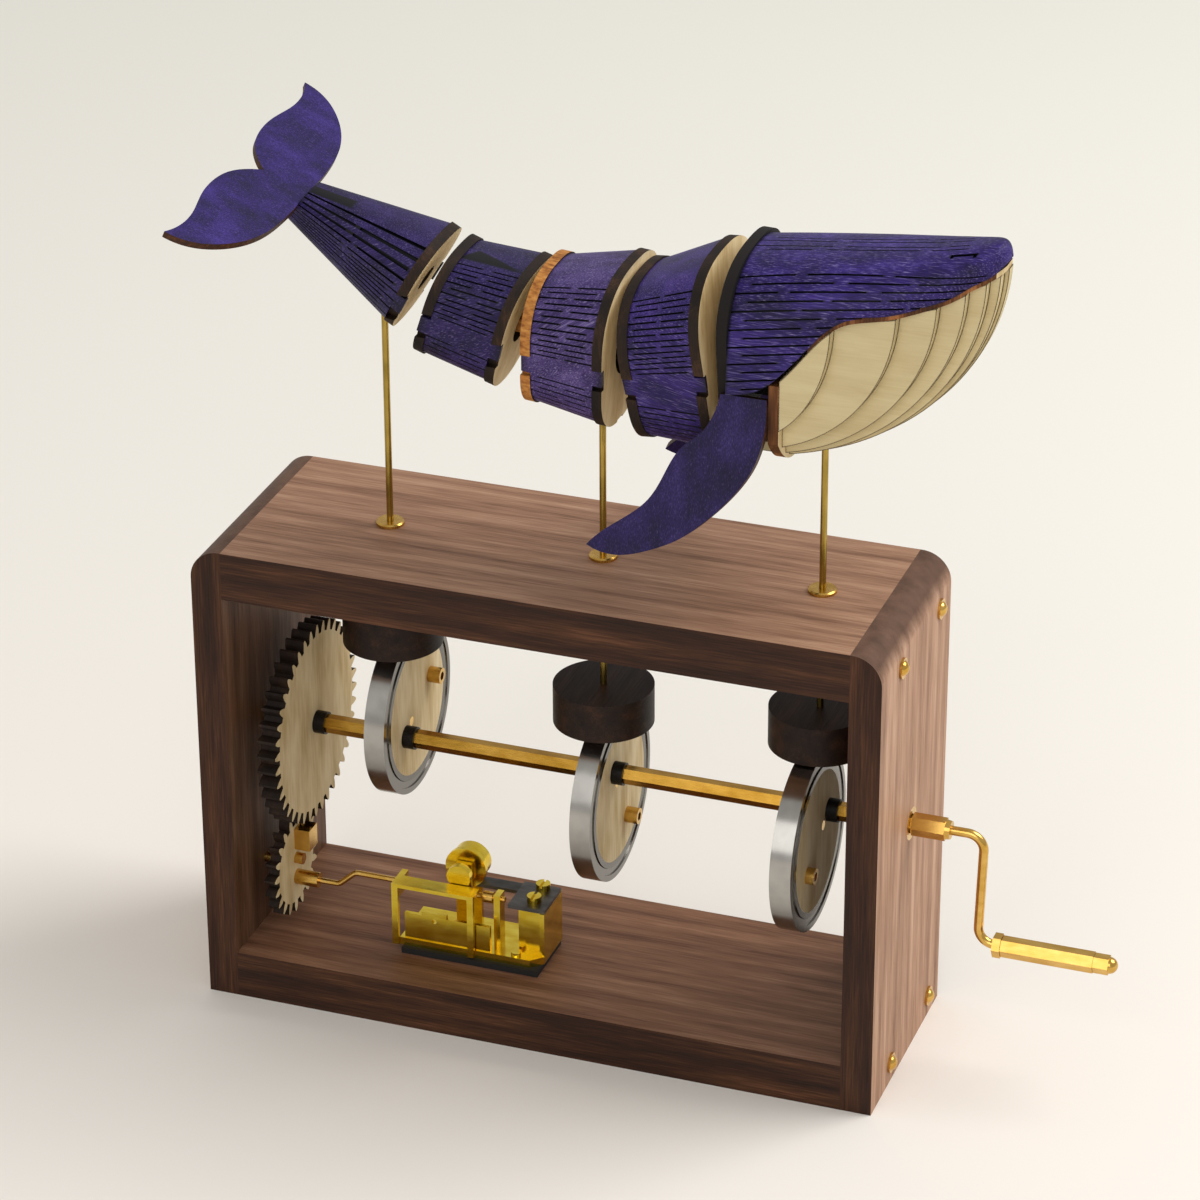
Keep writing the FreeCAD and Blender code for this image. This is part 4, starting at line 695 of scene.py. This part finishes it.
def head_skin():
    """Rows along the arch y = side cos^.8 a, z = spring + rise sin^.8 a, then straight down. Above the
    shoulder the rows are spread evenly; below it a row climbs by row_rise times the way ahead less
    row_fall times its square. Each column stops at the mouth."""
    level_from = 15.5
    row_rise, row_fall = 0.19, 0.0013
    row_pitch = 2.55
    cut = 0.44
    shortest_dash, dash_spread = 13, 17
    shortest_gap, gap_spread = 2.2, 2.4
    eye_rows = (8.6, 9.5)
    eye_x = (112.7, 120.3)
    eye_corner = 0.9
    lid_width = 1.0
    below_mouth = 180.0
    x0 = head_back[0] + ply / math.cos(math.radians(head_back[2]))
    nose = head_start + head_length
    columns = x0 + (nose - x0) * np.sin(np.linspace(0, math.pi / 2, 100)) * 0.999
    columns = np.unique(np.concatenate([np.linspace(x0, nose - 12, 70), columns[columns > nose - 14]]))
    kerf_at = np.array([2.0, 4.5, *np.arange(level_from + 1.5, 62, row_pitch)])
    samples = [2.0 * i for i in range(34)]
    for s in kerf_at:
        samples += [s - cut / 2 - char_width, s - cut / 2, s + cut / 2, s + cut / 2 + char_width]
    samples += [eye_rows[0] - lid_width - char_width, eye_rows[0] - lid_width, *eye_rows,
                eye_rows[0] + char_width]
    down = np.unique(np.round(samples, 4))
    side, spring, top = head_arch(columns)
    angles = np.linspace(math.pi / 2, 0, 240)
    y = side[:, None] * np.cos(angles) ** arch_power
    z = spring[:, None] + (top - spring)[:, None] * np.sin(angles) ** arch_power
    y = np.concatenate([y, side[:, None]], axis=1)
    z = np.concatenate([z, np.full((len(columns), 1), below_mouth)], axis=1)
    walk = np.concatenate([np.zeros((len(columns), 1)),
                           np.cumsum(np.hypot(np.diff(y, axis=1), np.diff(z, axis=1)), axis=1)], axis=1)
    stop = smooth_line(columns, mouth_x, mouth_z)
    half_grid = []
    clamped = []
    level = np.interp(down, walk[0], z[0])
    for i in range(len(columns)):
        last = np.interp(-stop[i], -z[i], walk[i])
        ahead = columns[i] - x0
        height = level + row_rise * ahead - row_fall * ahead ** 2
        by_height = np.interp(-height, -z[i], walk[i])
        shoulder = np.interp(level_from, down, by_height)
        wanted = np.where(down < level_from, down * shoulder / level_from, by_height)
        s = np.minimum(wanted, last)
        clamped.append(wanted >= last)
        half_grid.append(np.stack([np.full(len(s), columns[i]), np.interp(s, walk[i], y[i]),
                                   np.interp(s, walk[i], z[i])], axis=-1))
    half_grid = np.stack(half_grid, axis=1)
    clamped = np.stack(clamped, axis=1)
    lean = math.tan(math.radians(head_back[2]))
    fade = 1 - (columns - x0) / (nose - x0)
    half_grid[:, :, 0] += (half_grid[:, :, 2] - head_back[1]) * lean * fade
    grid = np.concatenate([(half_grid * (1, -1, 1))[::-1], half_grid[1:]])
    clamped = np.concatenate([clamped[::-1], clamped[1:]])
    signed = np.concatenate([-down[::-1], down[1:]])
    inner = grid.copy()
    inner[:, :, 1] *= ((side - skin) / side)[None, :].clip(0, 1)
    share = np.clip((grid[:, :, 2] - spring) / np.maximum(top - spring, 0.5), 0, 1)
    inner[:, :, 2] -= skin * share
    inner[:, :, 0] = x0 + (grid[:, :, 0] - x0) * (nose - skin - x0) / (nose - x0)
    keep = ~(clamped[:-1, :-1] & clamped[1:, :-1] & clamped[:-1, 1:] & clamped[1:, 1:])
    middle = np.abs((signed[1:] + signed[:-1]) / 2)
    middle_x = (columns[1:] + columns[:-1]) / 2
    groove = np.zeros(keep.shape, bool)
    burn = np.zeros(grid.shape[:2])
    random = np.random.default_rng(7)
    for row, s in enumerate(kerf_at):
        here = np.abs(middle - s) < cut / 2
        rim = np.abs(np.abs(signed) - s) < cut / 2 + 0.001
        reach = nose - (12 if s < level_from else 5)
        start = x0 - 1 if row % 2 == 0 else x0 + 4
        while start < reach:
            dash = shortest_dash + dash_spread * random.random()
            groove[np.ix_(here, (middle_x > start) & (middle_x < min(start + dash, reach)))] = True
            burn[np.ix_(rim, (columns > start - 0.4) & (columns < min(start + dash, reach) + 0.4))] = 1.0
            start += dash + shortest_gap + gap_spread * random.random()
    lid = (middle > eye_rows[0] - lid_width) & (middle < eye_rows[0])
    ends = (middle > eye_rows[0]) & (middle < eye_rows[1])
    within = (middle_x > eye_x[0]) & (middle_x < eye_x[1])
    corners = within & ((middle_x < eye_x[0] + eye_corner) | (middle_x > eye_x[1] - eye_corner))
    groove[np.ix_(lid, within)] = True
    groove[np.ix_(ends, corners)] = True
    lid_rim = (np.abs(signed) > eye_rows[0] - lid_width - 0.001) & (np.abs(signed) < eye_rows[0] + 0.001)
    burn[np.ix_(lid_rim, (columns > eye_x[0] - 0.1) & (columns < eye_x[1] + 0.1))] = 1.0
    burn[clamped] = np.maximum(burn[clamped], 0.7)
    burn[:, 0] = 0.8
    shell("head_stained_skin", grid, inner, keep, groove, burn, False, "body_head", "head_skin",
          stained_ply("violet_ply_head", (0, 0, 0), 9.0, deep_violet))


head_skin()

# ---- whale: jaw ------------------------------------------------------------------
# A stack of upright birch plates makes the throat, each shorter than its neighbour
# nearer the middle; a thin dark brown line runs along the sharp edges of each plate.
def head_plywood():
    """Black edges at the back bulkhead and copper brown ones on the plates ahead of it. Faces that
    look into the room between the back bulkhead and the jaw's are painted black too, as painted shade."""
    copper = [(0.0, paint("#24130a")), (0.5, paint("#5e3719")), (1.0, paint("#a0683a"))]
    room_middle = 60.0
    room_end = 65.0
    material = plywood("head_plywood", birch_face, copper, "X", bulkhead_least, middle=room_middle)
    shader = material.node_tree.nodes["Principled BSDF"]
    usual = shader.inputs["Base Color"].links[0].from_socket
    place = add(material, "TexCoord").outputs["Object"]
    along = add(material, "SeparateXYZ", links={0: place}).outputs["X"]
    behind = add(material, "Math", {"operation": "LESS_THAN", 1: room_end * mm}, {0: along}).outputs[0]
    face = facing(material, "X", bulkhead_least)
    unfaced = add(material, "Math", {"operation": "SUBTRACT"}, {0: behind, 1: face}).outputs[0]
    edge = add(material, "Math", {"operation": "GREATER_THAN", 1: 0.0}, {0: unfaced}).outputs[0]
    # painted shade: faces that look into the room behind the jaw are painted black
    shaded_inside = looking_at(material, room_middle)
    inner = add(material, "Math", {"operation": "MULTIPLY"}, {0: behind, 1: shaded_inside}).outputs[0]
    black = add(material, "Math", {"operation": "MAXIMUM"}, {0: edge, 1: inner}).outputs[0]
    colour = add(material, "MixRGB", {"Color2": paint("#120d0b")},
                 {"Fac": black, "Color1": usual}).outputs["Color"]
    material.node_tree.links.new(colour, shader.inputs["Base Color"])
    return material


dress(head_plywood(), "head_plates")


def jaw_material():
    """Bare birch: cream, with a thin dark brown line along the sharp edges of each plate, where the
    normal rounded over line_reach mm leaves the face's own."""
    cream = [(0.0, paint("#c0ae83")), (0.5, paint("#c8b88d")), (1.0, paint("#cfc096"))]
    line_reach = 0.55
    material = plywood("bare_birch_plywood", cream, cream, "Y", 0.7, "X", 2.0)
    shader = material.node_tree.nodes["Principled BSDF"]
    usual = shader.inputs["Base Color"].links[0].from_socket
    rounded = add(material, "Bevel", {"samples": 6, "Radius": line_reach * mm}).outputs["Normal"]
    flat = add(material, "NewGeometry").outputs["Normal"]
    same = add(material, "VectorMath", {"operation": "DOT_PRODUCT"}, {0: rounded, 1: flat}).outputs["Value"]
    here = add(material, "MapRange", {"From Min": 0.995, "From Max": 0.97}, {"Value": same}).outputs[0]
    colour = add(material, "MixRGB", {"Color2": paint("#2e190b")},
                 {"Fac": here, "Color1": usual}).outputs["Color"]
    material.node_tree.links.new(colour, shader.inputs["Base Color"])
    return material


dress(jaw_material(), "jaw_plates")
